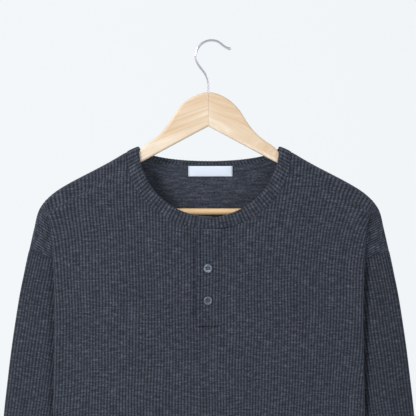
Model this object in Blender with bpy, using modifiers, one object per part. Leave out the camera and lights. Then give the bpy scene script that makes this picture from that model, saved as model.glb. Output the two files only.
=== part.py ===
"""A long-sleeved henley shirt in ribbed knit, hanging on a flat wooden hanger.

All sizes are in millimetres and are turned to metres where a mesh is made. X runs across the
shirt, Z is up, and -Y is the front. The origin is the inside of the hook, where it hangs.
The cloth is worked out as a middle surface, a grid of columns that run down the knit and rows
that run across it, and is then given its wall and its raised ribs.
"""
import math

import bmesh
import bpy
import numpy as np

MM = 0.001
GAP = 0.3                  # between pieces that touch
SEAM_GAP = 0.45            # where a seam slants across the columns

# Cloth
WALL = 1.8                 # knit thickness without its ribs
RIB_HEIGHT = 0.6
RIB_PITCH = 10.75          # drawn wider than the knit's own 4.3 mm ribs
HEM_ROW_SCALE = 0.99       # how much of a column's length is height, below the shoulder

# Shirt, measured from its centre line
SHIRT_X = -3.9             # centre line of the shirt
NECK_HALF = 115.0          # neck seam, half width
NECK_FRONT_Z = -262.0      # neck seam at the centre front
NECK_BACK_Z = -184.3       # and at the centre back
HEM_Z = -850.0
SHOULDER_RADIUS = 8.0      # the cloth's bend over the hanger's arm
FOLD_COLUMN = 215.0        # the column on the side fold, across the cut panel
PANEL_HALF = 295.0         # half the cut panel
FOLD_RADIUS = 2.5
LEAN_FROM = 188.0          # columns from here to the fold fan out over the hanger's end
LEAN = 14.0
SEAM_SEPARATION = 3.4      # between the layers that meet at a seam face to face
CREASE_SEPARATION = 6.0    # between the layers either side of the hidden crease
CREASE_CLOSES = 60.0       # height over which the crease narrows to the seam
SHOULDER_END = (251.0, -293.0)      # where the shoulder seam meets the sleeve
SEAM_BEHIND_FOLD = (180.0, -315.0)  # where the armhole seam turns down behind the fold
UNDERARM_Z = -498.0
SIDE_SEAM_DEPTH = 1.1
SEAM_CLOSES = 80.0         # height over which the armhole narrows to the side seam
CREASE_LEVELS = (-245.0, -495.0)    # heights between which the slanting crease turns level

# Tables: one row for each height or place, in millimetres
RIDGE = (  # across, height: the shoulder line
    (75.0, -134.5), (88.0, -142.2), (100.0, -148.9), (118.0, -157.2), (150.0, -175.7),
    (185.0, -195.2), (212.0, -211.2), (228.0, -224.0))
OUTLINE = (  # height, across: shoulder end, then the sleeve's outer edge
    (-224.0, 228.0), (-243.0, 239.5), (-268.0, 245.5), (-293.0, 251.0), (-360.0, 265.0),
    (-432.0, 275.5), (-524.0, 286.0), (-690.0, 296.5), (-850.0, 304.5))
FOLD_LINE = (  # height, across: the fold that edges the body
    (-238.0, 215.0), (-300.0, 216.5), (-524.0, 216.0), (-700.0, 223.0), (-850.0, 232.0))
INNER_EDGE = (  # height, across: armhole seam behind the fold, then the side seam
    (-315.0, 180.0), (-380.0, 165.0), (-440.0, 156.0), (-498.0, 150.0), (-620.0, 154.0),
    (-850.0, 178.0))
BODY_DEPTH = (  # below the shoulder, half depth of the body
    (8.0, 8.0), (21.0, 9.2), (29.0, 12.4), (42.0, 14.2), (80.0, 16.0), (140.0, 18.4), (200.0, 20.2),
    (300.0, 23.0), (420.0, 27.0), (560.0, 33.0), (700.0, 38.0))
SLEEVE_DEPTH = (  # height, half depth of the sleeve
    (-293.0, 5.5), (-400.0, 8.8), (-530.0, 12.0), (-700.0, 15.5), (-830.0, 16.5))
ARMHOLE_DEPTH = (  # height, half depth where the sleeve is sewn on
    (-315.0, 4.2), (-400.0, 3.2), (-498.0, 2.2))

STEEP_NECK_ANGLES = (67.5, 75.0, 82.5, 90.0)   # degrees round the neck, with a column at each
CLOSEST_COLUMNS = 1.6
UPPER_ROWS = (0.0, 6.3, 12.57, 18.0, 22.5, 26.5, 33.0, 43.0)  # rows near the top, down the cloth
FOLD_START_ROW = 5         # the row at the top of the side fold
LOWER_ROWS = (0.12, 0.30, 0.50, 0.75, 1.0)                    # the rest, as shares of what is left

# Sleeve
SLEEVE_RING_Z = -530.0
CUFF_Z = -830.0
SLEEVE_LEAN = 0.152
SLEEVE_INNER = ((-530.0, 170.0), (-690.0, 184.0), (-830.0, 197.0))  # height, inner edge
SLEEVE_INSET = 6.0         # sleeve's inner edge from the side seam, at the underarm
SLEEVE_SIDE_COLUMNS = 22   # across one face of the sleeve
SLEEVE_RISE_AT_SEAM = 1.25  # how sharply the sleeve swells from its inner edge, as a power
SLEEVE_RISE = 0.7
SLEEVE_TOP_ROWS = 5
SLEEVE_LOW_ROWS = 4

# Placket, band and label
BAND_WIDTH = 17.0
NECK_GAP = 0.6             # band to neck seam, with room for the seam's straight steps
BAND_WALL = 2.4
BAND_RIB = 0.5
BAND_RIB_PITCH = 5.0
PLACKET_LEFT = -17.5       # free edge, across the shirt
PLACKET_RIGHT = 19.5       # sewn edge
PLACKET_BOTTOM = -400.0
PLACKET_WALL = 1.5
STRIP_ROWS = 6
NOTCH_INSET = 3.0          # the opening's sides, inside the upper strip's edges
NOTCH_BOTTOM = -392.0
BAND_LOWER_END = 14.0      # hidden end of the band, across the shirt
BAND_LAP_SPARE = 2.0       # degrees that the upper end stays raised past the lower end
BAND_LIFT_ENDS = 26.0      # degrees from the front centre where the upper end comes down
BUTTON_X = -1.4
BUTTON_HEIGHTS = {"button_top": -317.4, "button_bottom": -362.3}
BUTTON_HOLE_RADIUS = 0.85
BUTTON_HOLE_OFFSET = 1.35
BUTTON_SIDES = 20
BUTTON_PROFILE = (  # from the axis, height: recessed face, rim, edge, back
    (0.0, 1.7), (3.4, 1.7), (4.2, 2.5), (5.1, 2.6), (6.0, 1.7), (6.0, 1.1), (5.0, 0.0), (0.0, 0.0))
LABEL_HALF = 31.0
LABEL_X = 2.1
LABEL_TOP = -174.0
LABEL_BOTTOM = -188.6
LABEL_WALL = 0.6

# Hanger, measured from its joint
HANGER_X = -4.8
ARM_THICKNESS = 12.0
ARM_ROUNDING = 4.0
ARM_HALF = 210.0
ARM_LOWER_START = -118.9
ARM_LOWER_SLOPE = 0.533
ARM_UNDER_CLOTH = 3.5      # arm's top below the cloth's middle surface
ARM_TOP = (  # across, height: the necked centre
    (0.0, -71.5), (10.0, -73.6), (20.9, -78.7), (33.7, -86.8), (43.4, -98.0), (53.1, -110.9),
    (62.7, -123.8), (70.7, -133.4), (80.4, -140.9), (88.0, -146.3), (94.8, -152.2), (104.0, -159.5),
    (112.0, -168.2), (122.0, -171.0))
ARM_TOP_UNDER_CLOTH = (140.0, 160.0, 185.0, 199.0)   # across
END_BLOCK = 18.0           # length of the deeper end that holds the bar
END_BOTTOM = -250.0
END_ROUNDING = 7.0
BAR_Z = -239.0
BAR_RADIUS = 6.0
WIRE_RADIUS = 1.7
HOOK_RADIUS = 22.0
HOOK_CENTRE = (-0.4, -20.3)
HOOK_ARC = (208.0, 69.0)   # degrees, from the shank round over the top
HOOK_ARC_STEPS = 14
HOOK_SEAT = 0.85           # shank's end below the arms' top, between their rounded corners
HOOK_SHANK = ((0.0, ARM_TOP[0][1] - HOOK_SEAT), (0.0, -58.0), (-1.3, -52.0))
HOOK_TIP = ((19.3, -8.0), (23.2, -9.7), (27.0, -10.5))

COLOURS = {  # name: linear red, green, blue, then roughness and metallic
    "knit": (0.045, 0.049, 0.062, 0.9, 0.0), "label": (0.8, 0.8, 0.8, 0.7, 0.0),
    "button": (0.13, 0.13, 0.15, 0.45, 0.0), "wood": (0.72, 0.5, 0.28, 0.5, 0.0),
    "steel": (0.7, 0.7, 0.72, 0.2, 1.0)}


def read_table(table, place):
    """Smooth reading of a two-column table, held at its ends."""
    rows = sorted(table)
    keys = np.array([row[0] for row in rows])
    values = np.array([row[1] for row in rows])
    slopes = np.gradient(values, keys)
    place = np.clip(place, keys[0], keys[-1])
    index = np.clip(np.searchsorted(keys, place) - 1, 0, len(keys) - 2)
    width = keys[index + 1] - keys[index]
    t = (place - keys[index]) / width
    return ((1 + 2 * t) * (1 - t) ** 2 * values[index] + t * (1 - t) ** 2 * width * slopes[index]
            + t * t * (3 - 2 * t) * values[index + 1] + t * t * (t - 1) * width * slopes[index + 1])


def mix(a, b, share):
    return a + (b - a) * share


def ease(t):
    t = min(1.0, max(0.0, t))
    return t * t * (3 - 2 * t)


def drop(length):
    """Height lost along a column, from the shoulder line."""
    bend = SHOULDER_RADIUS * math.pi / 2
    if length < bend:
        return SHOULDER_RADIUS * (1 - math.cos(length / SHOULDER_RADIUS))
    return SHOULDER_RADIUS + (length - bend) * HEM_ROW_SCALE


def length_down(height):
    """The length down a column that loses this height, the reverse of drop."""
    height = max(0.0, height)
    if height < SHOULDER_RADIUS:
        return SHOULDER_RADIUS * math.acos(1 - height / SHOULDER_RADIUS)
    return (height - SHOULDER_RADIUS) / HEM_ROW_SCALE + SHOULDER_RADIUS * math.pi / 2


def body_depth(length):
    """Half depth of the body at a length down a column."""
    if length < SHOULDER_RADIUS * math.pi / 2:
        return SHOULDER_RADIUS * math.sin(length / SHOULDER_RADIUS)
    return float(read_table(BODY_DEPTH, drop(length)))


def sleeve_half_depth(x, z):
    """Half depth of the sleeve and of the shoulder's cap, at a place on the front view."""
    fold = float(read_table(FOLD_LINE, z))
    outer = float(read_table(OUTLINE, z))
    full = float(read_table(SLEEVE_DEPTH, z))
    if x >= fold:
        return full * math.sqrt(max(0.0, 1 - ((x - fold) / (outer - fold)) ** 2))
    if z > UNDERARM_Z:
        inner = float(read_table(INNER_EDGE, z))
        edge = float(read_table(ARMHOLE_DEPTH, z))
        return mix(edge, full, max(0.0, (x - inner) / (fold - inner)) ** SLEEVE_RISE_AT_SEAM)
    blend = ease((UNDERARM_Z - z) / (UNDERARM_Z - SLEEVE_RING_Z))
    inner = mix(float(read_table(INNER_EDGE, UNDERARM_Z)), float(read_table(SLEEVE_INNER, z)), blend)
    return full * max(0.0, (x - inner) / (fold - inner)) ** mix(SLEEVE_RISE_AT_SEAM, SLEEVE_RISE, blend)


def neck_drop(x, front, inset=0.0):
    """Length down a column, from the shoulder line to the neck seam or a curve inside it."""
    half = NECK_HALF - inset
    shoulder = float(read_table(RIDGE, half))
    depth = shoulder - inset - (NECK_FRONT_Z if front else NECK_BACK_Z)
    height = shoulder - depth * math.sqrt(max(0.0, 1 - (x / half) ** 2))
    return length_down(float(read_table(RIDGE, abs(x))) - height)


def in_notch(x):
    return PLACKET_LEFT + NOTCH_INSET < x < PLACKET_RIGHT - NOTCH_INSET


def ridge_slope(x):
    """Rise of the shoulder line for each millimetre across."""
    return float(read_table(RIDGE, abs(x + 0.5)) - read_table(RIDGE, abs(x - 0.5)))


def column_top(x, front):
    if front and in_notch(x):
        return length_down(float(read_table(RIDGE, abs(x))) - NOTCH_BOTTOM)
    return neck_drop(x, front) if abs(x) < NECK_HALF else 0.0



def panel_point(x, row, front):
    """A place on the middle surface of one side of the front or back panel, x >= 0 or < 0."""
    side = -1.0 if x < 0 else 1.0
    across = abs(x)
    if across <= FOLD_COLUMN - SHOULDER_RADIUS / 2 or row < FOLD_START_ROW and across <= FOLD_COLUMN:
        point = body_point(across, row, column_top(x, front))
    elif row < FOLD_START_ROW:
        point = cap_point(across, row)
    elif row == FOLD_START_ROW:
        point = fold_start_point(across)
    else:
        point = return_point(across, row)
    return (side * point[0], -point[1] if front else point[1], point[2])


def body_point(across, row, top):
    """The part of the panel that faces out, between the two side folds."""
    length = row_length(row, across, top)
    fan = ease((across - LEAN_FROM) / (FOLD_COLUMN - LEAN_FROM))
    x = across + LEAN * fan * max(0.0, 1 - (length - top) / UPPER_ROWS[FOLD_START_ROW])
    z = float(read_table(RIDGE, x)) - drop(length)
    if row > FOLD_START_ROW:
        edge = float(read_table(FOLD_LINE, z)) - fold_radius(row)
        x = mix(across, across * edge / (FOLD_COLUMN - RIB_PITCH / 2), ease(row - FOLD_START_ROW))
    return (x, max(body_depth(length), GAP / 2), z)


def row_length(row, across, top):
    if row < len(UPPER_ROWS):
        return top + UPPER_ROWS[row]
    start = top + UPPER_ROWS[-1]
    end = length_down(float(read_table(RIDGE, across)) - HEM_Z)
    return mix(start, end, LOWER_ROWS[row - len(UPPER_ROWS)])


def fold_radius(row):
    return FOLD_RADIUS * (0.55 if row == FOLD_START_ROW + 1 else 1.0)


def cap_share(across):
    return (across - FOLD_COLUMN) / (PANEL_HALF - FOLD_COLUMN)


def cap_point(across, row):
    """The shoulder's cap, which turns outwards over the end of the hanger."""
    share = cap_share(across)
    down = UPPER_ROWS[row] / UPPER_ROWS[FOLD_START_ROW]
    ridge_z = mix(OUTLINE[0][0], SHOULDER_END[1], share)
    ridge_x = float(read_table(OUTLINE, ridge_z))
    low = fold_start_point(across)
    x = mix(ridge_x, low[0], down)
    z = mix(ridge_z, low[2], down)
    near = body_depth(UPPER_ROWS[row])
    far = sleeve_half_depth(x, z)
    return (x, max(mix(near, far, ease(share * 4)), GAP / 2), z)


def fold_start_point(across):
    """The hidden crease from the top of the side fold to the armhole seam."""
    share = cap_share(across)
    if share <= 0:
        return body_point(across, FOLD_START_ROW, 0.0)
    start = body_point(FOLD_COLUMN, FOLD_START_ROW, 0.0)
    x = mix(start[0], SEAM_BEHIND_FOLD[0], share)
    z = mix(start[2], SEAM_BEHIND_FOLD[1], share)
    sunk = float(read_table(ARMHOLE_DEPTH, z)) + CREASE_SEPARATION / 2
    return (x, mix(start[1], sunk, ease(share * 2.5)), z)


def return_point(across, row):
    """The part of the panel that runs back inwards behind its side fold."""
    fold_body = body_point(FOLD_COLUMN - RIB_PITCH / 2, row, 0.0)
    fold_z = fold_body[2]
    radius = fold_radius(row)
    turn = (across - FOLD_COLUMN) / (RIB_PITCH / 2) * math.pi / 2
    fold_x = float(read_table(FOLD_LINE, fold_z))
    if turn <= math.pi / 2:
        depth = fold_body[1] - radius * (1 + math.sin(turn))
        return (fold_x - radius * (1 - math.cos(turn)), depth, fold_z)
    fold_top = float(read_table(RIDGE, FOLD_COLUMN)) - drop(UPPER_ROWS[FOLD_START_ROW])
    level = ease((CREASE_LEVELS[0] - fold_z) / (CREASE_LEVELS[0] - CREASE_LEVELS[1]))
    edge_z = fold_z + (SEAM_BEHIND_FOLD[1] - fold_top) * (1 - level)
    edge_x = float(read_table(INNER_EDGE, edge_z))
    closed = ease((SEAM_BEHIND_FOLD[1] - edge_z) / CREASE_CLOSES)
    apart = mix(CREASE_SEPARATION, SEAM_SEPARATION, closed)
    armhole = float(read_table(ARMHOLE_DEPTH, edge_z)) + apart
    seam = mix(armhole, SIDE_SEAM_DEPTH, ease((UNDERARM_Z - SLEEVE_INSET - edge_z) / SEAM_CLOSES))
    back_of_fold = FOLD_COLUMN + RIB_PITCH / 2
    share = (across - back_of_fold) / (PANEL_HALF - back_of_fold)
    return (mix(fold_x - radius, edge_x, share), mix(fold_body[1] - 2 * radius, seam, share),
            mix(fold_z, edge_z, share))


def panel_columns(front):
    """Columns across the panel: one for each side of a rib, and more where an edge turns."""
    step = RIB_PITCH / 2
    regular = [k * step for k in range(int(round(PANEL_HALF / step)) + 1)]
    steep = [NECK_HALF * math.sin(math.radians(angle)) for angle in STEEP_NECK_ANGLES]
    half = [x for x in regular if min(abs(x - e) for e in steep) > CLOSEST_COLUMNS]
    half = sorted(half + steep + [FOLD_COLUMN - step / 2, FOLD_COLUMN + step / 2])
    columns = [-x for x in reversed(half) if x > 0] + half
    if front:
        edges = (PLACKET_LEFT + NOTCH_INSET, PLACKET_RIGHT - NOTCH_INSET)
        columns = [x for x in columns if min(abs(x - edge) for edge in edges) > CLOSEST_COLUMNS]
        columns += [edge + shift for edge in edges for shift in (-GAP / 2, GAP / 2)]
    return sorted(columns)


def is_plain_column(x):
    """Columns that the smooth inside of the wall keeps: one a rib, and those at its edges."""
    at_fold = abs(abs(x) - FOLD_COLUMN) < RIB_PITCH * 0.6
    at_notch = min(abs(x - PLACKET_LEFT - NOTCH_INSET), abs(x - PLACKET_RIGHT + NOTCH_INSET)) < GAP
    at_neck = NECK_HALF - RIB_PITCH < abs(x) <= NECK_HALF
    step = RIB_PITCH if abs(x) > LEAN_FROM or abs(x) < NECK_HALF else RIB_PITCH * 2
    regular = abs(x / step - round(x / step)) < 0.01
    return at_fold or at_notch or at_neck or regular or abs(x) > PANEL_HALF - GAP


def rib(place, pitch, height):
    return height * (0.5 - 0.5 * math.cos(2 * math.pi * place / pitch))


def panel_rib(x, row):
    """Height of the knit's ribs, which are pressed flat along the hidden crease."""
    creased = abs(x) > FOLD_COLUMN + RIB_PITCH / 4 and -1 <= row - FOLD_START_ROW <= 2
    return 0.0 if creased else rib(x, RIB_PITCH, RIB_HEIGHT)


def normals(mid, closed, known=None):
    """Unit normals of a grid of points, rows first; known gives columns' directions across."""
    if closed:
        across = (np.roll(mid, -1, axis=1) - np.roll(mid, 1, axis=1)) / 2
    else:
        across = np.gradient(mid, axis=1, edge_order=2)
    for column, direction in (known or {}).items():
        across[:, column] = direction
    down = np.gradient(mid, axis=0, edge_order=2)
    normal = np.cross(down, across)
    return normal / np.linalg.norm(normal, axis=2, keepdims=True)


def zip_edges(first, second, first_places, second_places):
    """Triangles between two edges that have unlike numbers of points."""
    faces = []
    i = j = 0
    while i < len(first) - 1 or j < len(second) - 1:
        step_first = j == len(second) - 1 or (
            i < len(first) - 1 and first_places[i + 1] <= second_places[j + 1])
        if step_first:
            faces.append((first[i], first[i + 1], second[j]))
            i += 1
        else:
            faces.append((first[i], second[j + 1], second[j]))
            j += 1
    return faces


def wall_mesh(name, outer, inner, outer_places, inner_places, closed):
    """A solid wall from its outer and inner grids; closed joins its last column to its first."""
    rows = outer.shape[0]
    points = [tuple(p * MM) for grid in (outer, inner) for p in grid.reshape(-1, 3)]
    sizes = (outer.shape[1], inner.shape[1])
    start = (0, rows * sizes[0])
    faces = []
    edges = []
    for layer in (0, 1):
        width = sizes[layer]
        ids = [[start[layer] + r * width + c for c in range(width)] for r in range(rows)]
        if closed:
            ids = [row + row[:1] for row in ids]
        edges.append(ids)
        for r in range(rows - 1):
            for c in range(len(ids[r]) - 1):
                quad = (ids[r][c], ids[r][c + 1], ids[r + 1][c + 1], ids[r + 1][c])
                faces.append(quad if layer else quad[::-1])
    places = [list(outer_places), list(inner_places)]
    if closed:
        places = [p + [math.inf] for p in places]
    for r in (0, rows - 1):
        faces += zip_edges(edges[0][r], edges[1][r], places[0], places[1])
    if not closed:
        for c in (0, -1):
            for r in range(rows - 1):
                faces.append((edges[0][r][c], edges[0][r + 1][c], edges[1][r + 1][c], edges[1][r][c]))
    mesh = bpy.data.meshes.new(name)
    mesh.from_pydata(points, [], faces)
    tidy = bmesh.new()
    tidy.from_mesh(mesh)
    bmesh.ops.recalc_face_normals(tidy, faces=tidy.faces)
    tidy.to_mesh(mesh)
    tidy.free()
    mesh.shade_smooth()
    mesh.set_sharp_from_angle(angle=math.radians(50))
    return mesh


def add_piece(name, data, material):
    piece = bpy.data.objects.new(name, data)
    PARTS.objects.link(piece)
    piece.data.materials.append(MATERIALS[material])
    return piece


def make_panel(name, front):
    """The front or the back, from one side seam to the other."""
    columns = panel_columns(front)
    rows = len(UPPER_ROWS) + len(LOWER_ROWS)
    mid = np.array([[panel_point(x, row, front) for x in columns] for row in range(rows)])
    mid[:, :, 0] += SHIRT_X
    known = {i: (1.0, 0.0, ridge_slope(x)) for i, x in enumerate(columns) if abs(x) < LEAN_FROM}
    normal = normals(mid, False, known) * (1 if front else -1)
    heights = np.array([[panel_rib(x, row) for x in columns] for row in range(rows)])
    outer = mid + normal * (WALL / 2 + heights[:, :, None])
    inner = mid - normal * (WALL / 2)
    keep = [i for i, x in enumerate(columns) if is_plain_column(x)]
    inner = inner[:, keep]
    for grid in (outer, inner):
        depth = grid[:, :, 1]
        grid[:, :, 1] = np.minimum(depth, -GAP / 2) if front else np.maximum(depth, GAP / 2)
        for end in (0, -1):
            edge = grid[:FOLD_START_ROW + 1, end]
            seam = [seam_height(abs(point[0] - SHIRT_X)) for point in edge]
            edge[:, 2] = np.maximum(edge[:, 2], np.array(seam) + GAP / 2)
    mesh = wall_mesh(name, outer, inner, columns, [columns[i] for i in keep], closed=False)
    return add_piece(name, mesh, "knit")


def sleeve_line(ring_x, z):
    """A knit column of the sleeve, parallel to its outer edge above the underarm."""
    ring_in, ring_out = SLEEVE_RING
    share = (ring_x - ring_in) / (ring_out - ring_in)
    lean = SLEEVE_LEAN * (z - SLEEVE_RING_Z)
    bulge = float(read_table(OUTLINE, z)) - (ring_out - lean)
    return ring_x - lean + bulge * max(0.0, share) ** 2


def seam_height(x):
    """Height of the armhole seam's upper stretch."""
    slope = (SHOULDER_END[1] - SEAM_BEHIND_FOLD[1]) / (SHOULDER_END[0] - SEAM_BEHIND_FOLD[0])
    return SHOULDER_END[1] + slope * (x - SHOULDER_END[0])


def sleeve_start(ring_x):
    """Height at which a sleeve column meets the armhole seam."""
    low, high = SLEEVE_RING_Z, SHOULDER_END[1]
    for _ in range(40):
        z = (low + high) / 2
        x = sleeve_line(ring_x, z)
        below_top = z < seam_height(x)
        outside = x > float(read_table(INNER_EDGE, z)) if z < SEAM_BEHIND_FOLD[1] else True
        if below_top and outside:
            low = z
        else:
            high = z
    return low - SEAM_GAP


def sleeve_point(share, row, start_z):
    """share runs from 0, the inner edge, to 1, the outer edge, on one face of the sleeve."""
    ring_x = mix(*SLEEVE_RING, share)
    if row <= SLEEVE_TOP_ROWS:
        z = mix(start_z, SLEEVE_RING_Z, row / SLEEVE_TOP_ROWS)
        x = sleeve_line(ring_x, z)
        if share == 0:
            underarm = float(read_table(INNER_EDGE, UNDERARM_Z)) + SLEEVE_INSET
            x = mix(underarm, SLEEVE_RING[0], row / SLEEVE_TOP_ROWS)
        if share == 1:
            x = float(read_table(OUTLINE, z))
    else:
        z = mix(SLEEVE_RING_Z, CUFF_Z, (row - SLEEVE_TOP_ROWS) / SLEEVE_LOW_ROWS)
        x = mix(float(read_table(SLEEVE_INNER, z)), float(read_table(OUTLINE, z)), share)
    return (x, 0.0 if share in (0, 1) else sleeve_half_depth(x, z), z)


def make_sleeve(name, side):
    shares = [i / SLEEVE_SIDE_COLUMNS for i in range(SLEEVE_SIDE_COLUMNS + 1)]
    starts = [UNDERARM_Z - GAP] + [sleeve_start(mix(*SLEEVE_RING, share)) for share in shares[1:]]
    rows = SLEEVE_TOP_ROWS + SLEEVE_LOW_ROWS + 1
    loop = [(s, z, -1.0) for s, z in zip(shares, starts)] + [
        (s, z, 1.0) for s, z in reversed(list(zip(shares, starts))[1:-1])]
    mid = np.zeros((rows, len(loop), 3))
    for row in range(rows):
        for column, (share, start_z, face) in enumerate(loop):
            x, y, z = sleeve_point(share, row, start_z)
            mid[row, column] = (SHIRT_X + side * x, face * y, z)
    normal = normals(mid, closed=True) * side
    heights = np.array([RIB_HEIGHT * (i % 2) for i in range(len(loop))])
    outer = mid + normal * (WALL / 2 + heights[None, :, None])
    keep = [i for i in range(len(loop)) if i % 2 == 0 or i in (1, len(loop) - 1)]
    inner = mid - normal * (WALL / 2)
    for grid in (outer, inner):
        for point in grid[0]:
            across = side * (point[0] - SHIRT_X)
            if across > SEAM_BEHIND_FOLD[0]:
                point[2] = min(point[2], seam_height(across) - GAP / 2)
    inner = inner[:, keep]
    mesh = wall_mesh(name, outer, inner, list(range(len(loop))), keep, closed=True)
    return add_piece(name, mesh, "knit")


SLEEVE_RING = (SLEEVE_INNER[0][1], float(read_table(OUTLINE, SLEEVE_RING_Z)))


def band_point(angle, inset, lift):
    """A place on the neckband: the angle goes round from the front, the inset from the seam."""
    front = math.cos(angle) >= 0
    inset += NECK_GAP
    x = (NECK_HALF - inset) * math.sin(angle)
    length = neck_drop(x, front, inset)
    y = body_depth(length) + lift
    z = float(read_table(RIDGE, abs(x))) - drop(length)
    return (SHIRT_X + x, -y if front else y, z)


def make_band():
    """The ribbed band round the neck, whose right end lies over its left end at the placket."""
    first = math.asin(PLACKET_LEFT / NECK_HALF)
    last = 2 * math.pi + math.asin(BAND_LOWER_END / NECK_HALF)
    angles = np.linspace(first, last, 721)
    line = np.array([band_point(angle, BAND_WIDTH / 2, 0.0) for angle in angles])
    lengths = np.concatenate([[0.0], np.cumsum(np.linalg.norm(np.diff(line, axis=0), axis=1))])
    count = int(round(lengths[-1] / BAND_RIB_PITCH)) * 2
    even = np.interp(np.linspace(0, lengths[-1], count + 1), lengths, angles)
    full_lift = BAND_WALL + BAND_RIB + GAP
    lap = math.degrees(math.asin(BAND_LOWER_END / NECK_HALF)) + BAND_LAP_SPARE
    insets = (0.0, BAND_WIDTH / 2, BAND_WIDTH)
    mid = np.zeros((len(insets), count + 1, 3))
    for column, angle in enumerate(even):
        lift = full_lift * (1 - ease((math.degrees(angle) - lap) / (BAND_LIFT_ENDS - lap)))
        for row, inset in enumerate(insets):
            mid[row, column] = band_point(angle, inset, lift)
    normal = -normals(mid, closed=False)
    heights = np.array([BAND_RIB * (i % 2) for i in range(count + 1)])
    outer = mid + normal * (BAND_WALL / 2 + heights[None, :, None])
    keep = [i for i in range(count + 1) if i % 4 == 0 or i == count]
    inner = (mid - normal * (BAND_WALL / 2))[:, keep]
    mesh = wall_mesh("neckband", outer, inner, list(range(count + 1)), keep, closed=False)
    return add_piece("neckband", mesh, "knit")


def make_strip(name, places, top, bottom, lift, wall, rib_height, material="knit", front=True):
    """A flat piece on the body: columns at the given places, moved out from the middle surface.

    top gives a length down the column for each place, bottom is a height."""
    rows = STRIP_ROWS
    mid = np.zeros((rows + 1, len(places), 3))
    for column, x in enumerate(places):
        ridge = float(read_table(RIDGE, abs(x)))
        end = length_down(ridge - bottom)
        for row in range(rows + 1):
            length = mix(top(x), end, row / rows)
            y = body_depth(length) + lift
            mid[row, column] = (SHIRT_X + x, -y if front else y, ridge - drop(length))
    out = np.array([0.0, -1.0 if front else 1.0, 0.0])
    heights = np.array([rib(x, RIB_PITCH, rib_height) for x in places])
    outer = mid + out * (wall / 2 + heights[None, :, None])
    inner = mid - out * (wall / 2)
    mesh = wall_mesh(name, outer, inner, places, places, closed=False)
    return add_piece(name, mesh, material)


def strip_places(left, right):
    step = RIB_PITCH / 2
    first = math.ceil((left + 1.0) / step)
    last = math.floor((right - 1.0) / step)
    return [left] + [k * step for k in range(first, last + 1)] + [right]


def placket_top(x):
    return neck_drop(x, True) + GAP


def make_placket():
    """The under strip fills the front's opening, the upper strip lies on it and on the front."""
    inset = NOTCH_INSET + SEAM_GAP
    under = strip_places(PLACKET_LEFT + inset, PLACKET_RIGHT - inset)
    make_strip("placket_under", under, placket_top, NOTCH_BOTTOM + GAP, 0.0, WALL, RIB_HEIGHT)
    upper = strip_places(PLACKET_LEFT, PLACKET_RIGHT)
    lift = WALL / 2 + RIB_HEIGHT + GAP + PLACKET_WALL / 2
    make_strip("placket_upper", upper, placket_top, PLACKET_BOTTOM, lift, PLACKET_WALL, RIB_HEIGHT)


def make_label():
    """The bare label inside the back of the neck."""
    ridge = float(read_table(RIDGE, 0.0))
    make_strip("neck_label", [LABEL_X - LABEL_HALF, LABEL_X, LABEL_X + LABEL_HALF],
               lambda x: length_down(ridge - LABEL_TOP), LABEL_BOTTOM,
               -(BAND_WALL / 2 + GAP + LABEL_WALL), LABEL_WALL, 0.0, "label", front=False)


def make_button(name, height):
    """A four-hole button on the upper strip, its face to the front."""
    profile = bpy.data.meshes.new(name)
    profile.from_pydata([(r * MM, 0, h * MM) for r, h in BUTTON_PROFILE],
                        [(i, i + 1) for i in range(len(BUTTON_PROFILE) - 1)], [])
    button = add_piece(name, profile, "button")
    length = length_down(float(read_table(RIDGE, 0.0)) - height)
    back = body_depth(length) + WALL / 2 + PLACKET_WALL + 2 * (RIB_HEIGHT + GAP)
    button.location = ((SHIRT_X + BUTTON_X) * MM, -back * MM, height * MM)
    button.rotation_euler = (math.pi / 2, 0, 0)
    turn = button.modifiers.new("turn", "SCREW")
    turn.steps = turn.render_steps = BUTTON_SIDES
    turn.use_merge_vertices = True
    turn.merge_threshold = 0.00005
    turn.use_smooth_shade = True
    holes = bmesh.new()
    for sx in (-1, 1):
        for sy in (-1, 1):
            drill = bmesh.ops.create_cone(
                holes, cap_ends=True, segments=8, radius1=BUTTON_HOLE_RADIUS * MM,
                radius2=BUTTON_HOLE_RADIUS * MM, depth=10 * MM)
            bmesh.ops.translate(holes, verts=drill["verts"],
                                vec=(sx * BUTTON_HOLE_OFFSET * MM, sy * BUTTON_HOLE_OFFSET * MM, 0))
    cutter_mesh = bpy.data.meshes.new(name + "_holes")
    holes.to_mesh(cutter_mesh)
    holes.free()
    cutter = bpy.data.objects.new(name + "_holes", cutter_mesh)
    CUTTERS.objects.link(cutter)
    cutter.hide_render = True
    cutter.display_type = "WIRE"
    cutter.location = button.location
    cutter.rotation_euler = button.rotation_euler
    drilled = button.modifiers.new("holes", "BOOLEAN")
    drilled.object = cutter
    drilled.solver = "EXACT"
    return button


def arc(centre, radius, start, end, steps):
    """Points on an arc, in degrees from +X."""
    angles = [math.radians(mix(start, end, i / steps)) for i in range(steps + 1)]
    return [(centre[0] + radius * math.cos(a), centre[1] + radius * math.sin(a)) for a in angles]


def arm_outline():
    """One arm seen from the front, from the joint round its end and back."""
    top = [(max(x, GAP / 2), z) for x, z in ARM_TOP]
    top += [(x, float(read_table(RIDGE, x + 0.9)) - ARM_UNDER_CLOTH) for x in ARM_TOP_UNDER_CLOTH]
    shoulder_z = float(read_table(RIDGE, ARM_HALF)) - ARM_UNDER_CLOTH
    end = arc((ARM_HALF - END_ROUNDING, shoulder_z - END_ROUNDING), END_ROUNDING, 60, 0, 3)
    end += arc((ARM_HALF - END_ROUNDING, END_BOTTOM + END_ROUNDING), END_ROUNDING, 0, -90, 4)
    inner_x = ARM_HALF - END_BLOCK
    end += arc((inner_x + END_ROUNDING, END_BOTTOM + END_ROUNDING), END_ROUNDING, -90, -180, 4)
    low = [(inner_x, ARM_LOWER_START - ARM_LOWER_SLOPE * inner_x), (GAP / 2, ARM_LOWER_START)]
    return top + end + low


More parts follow.
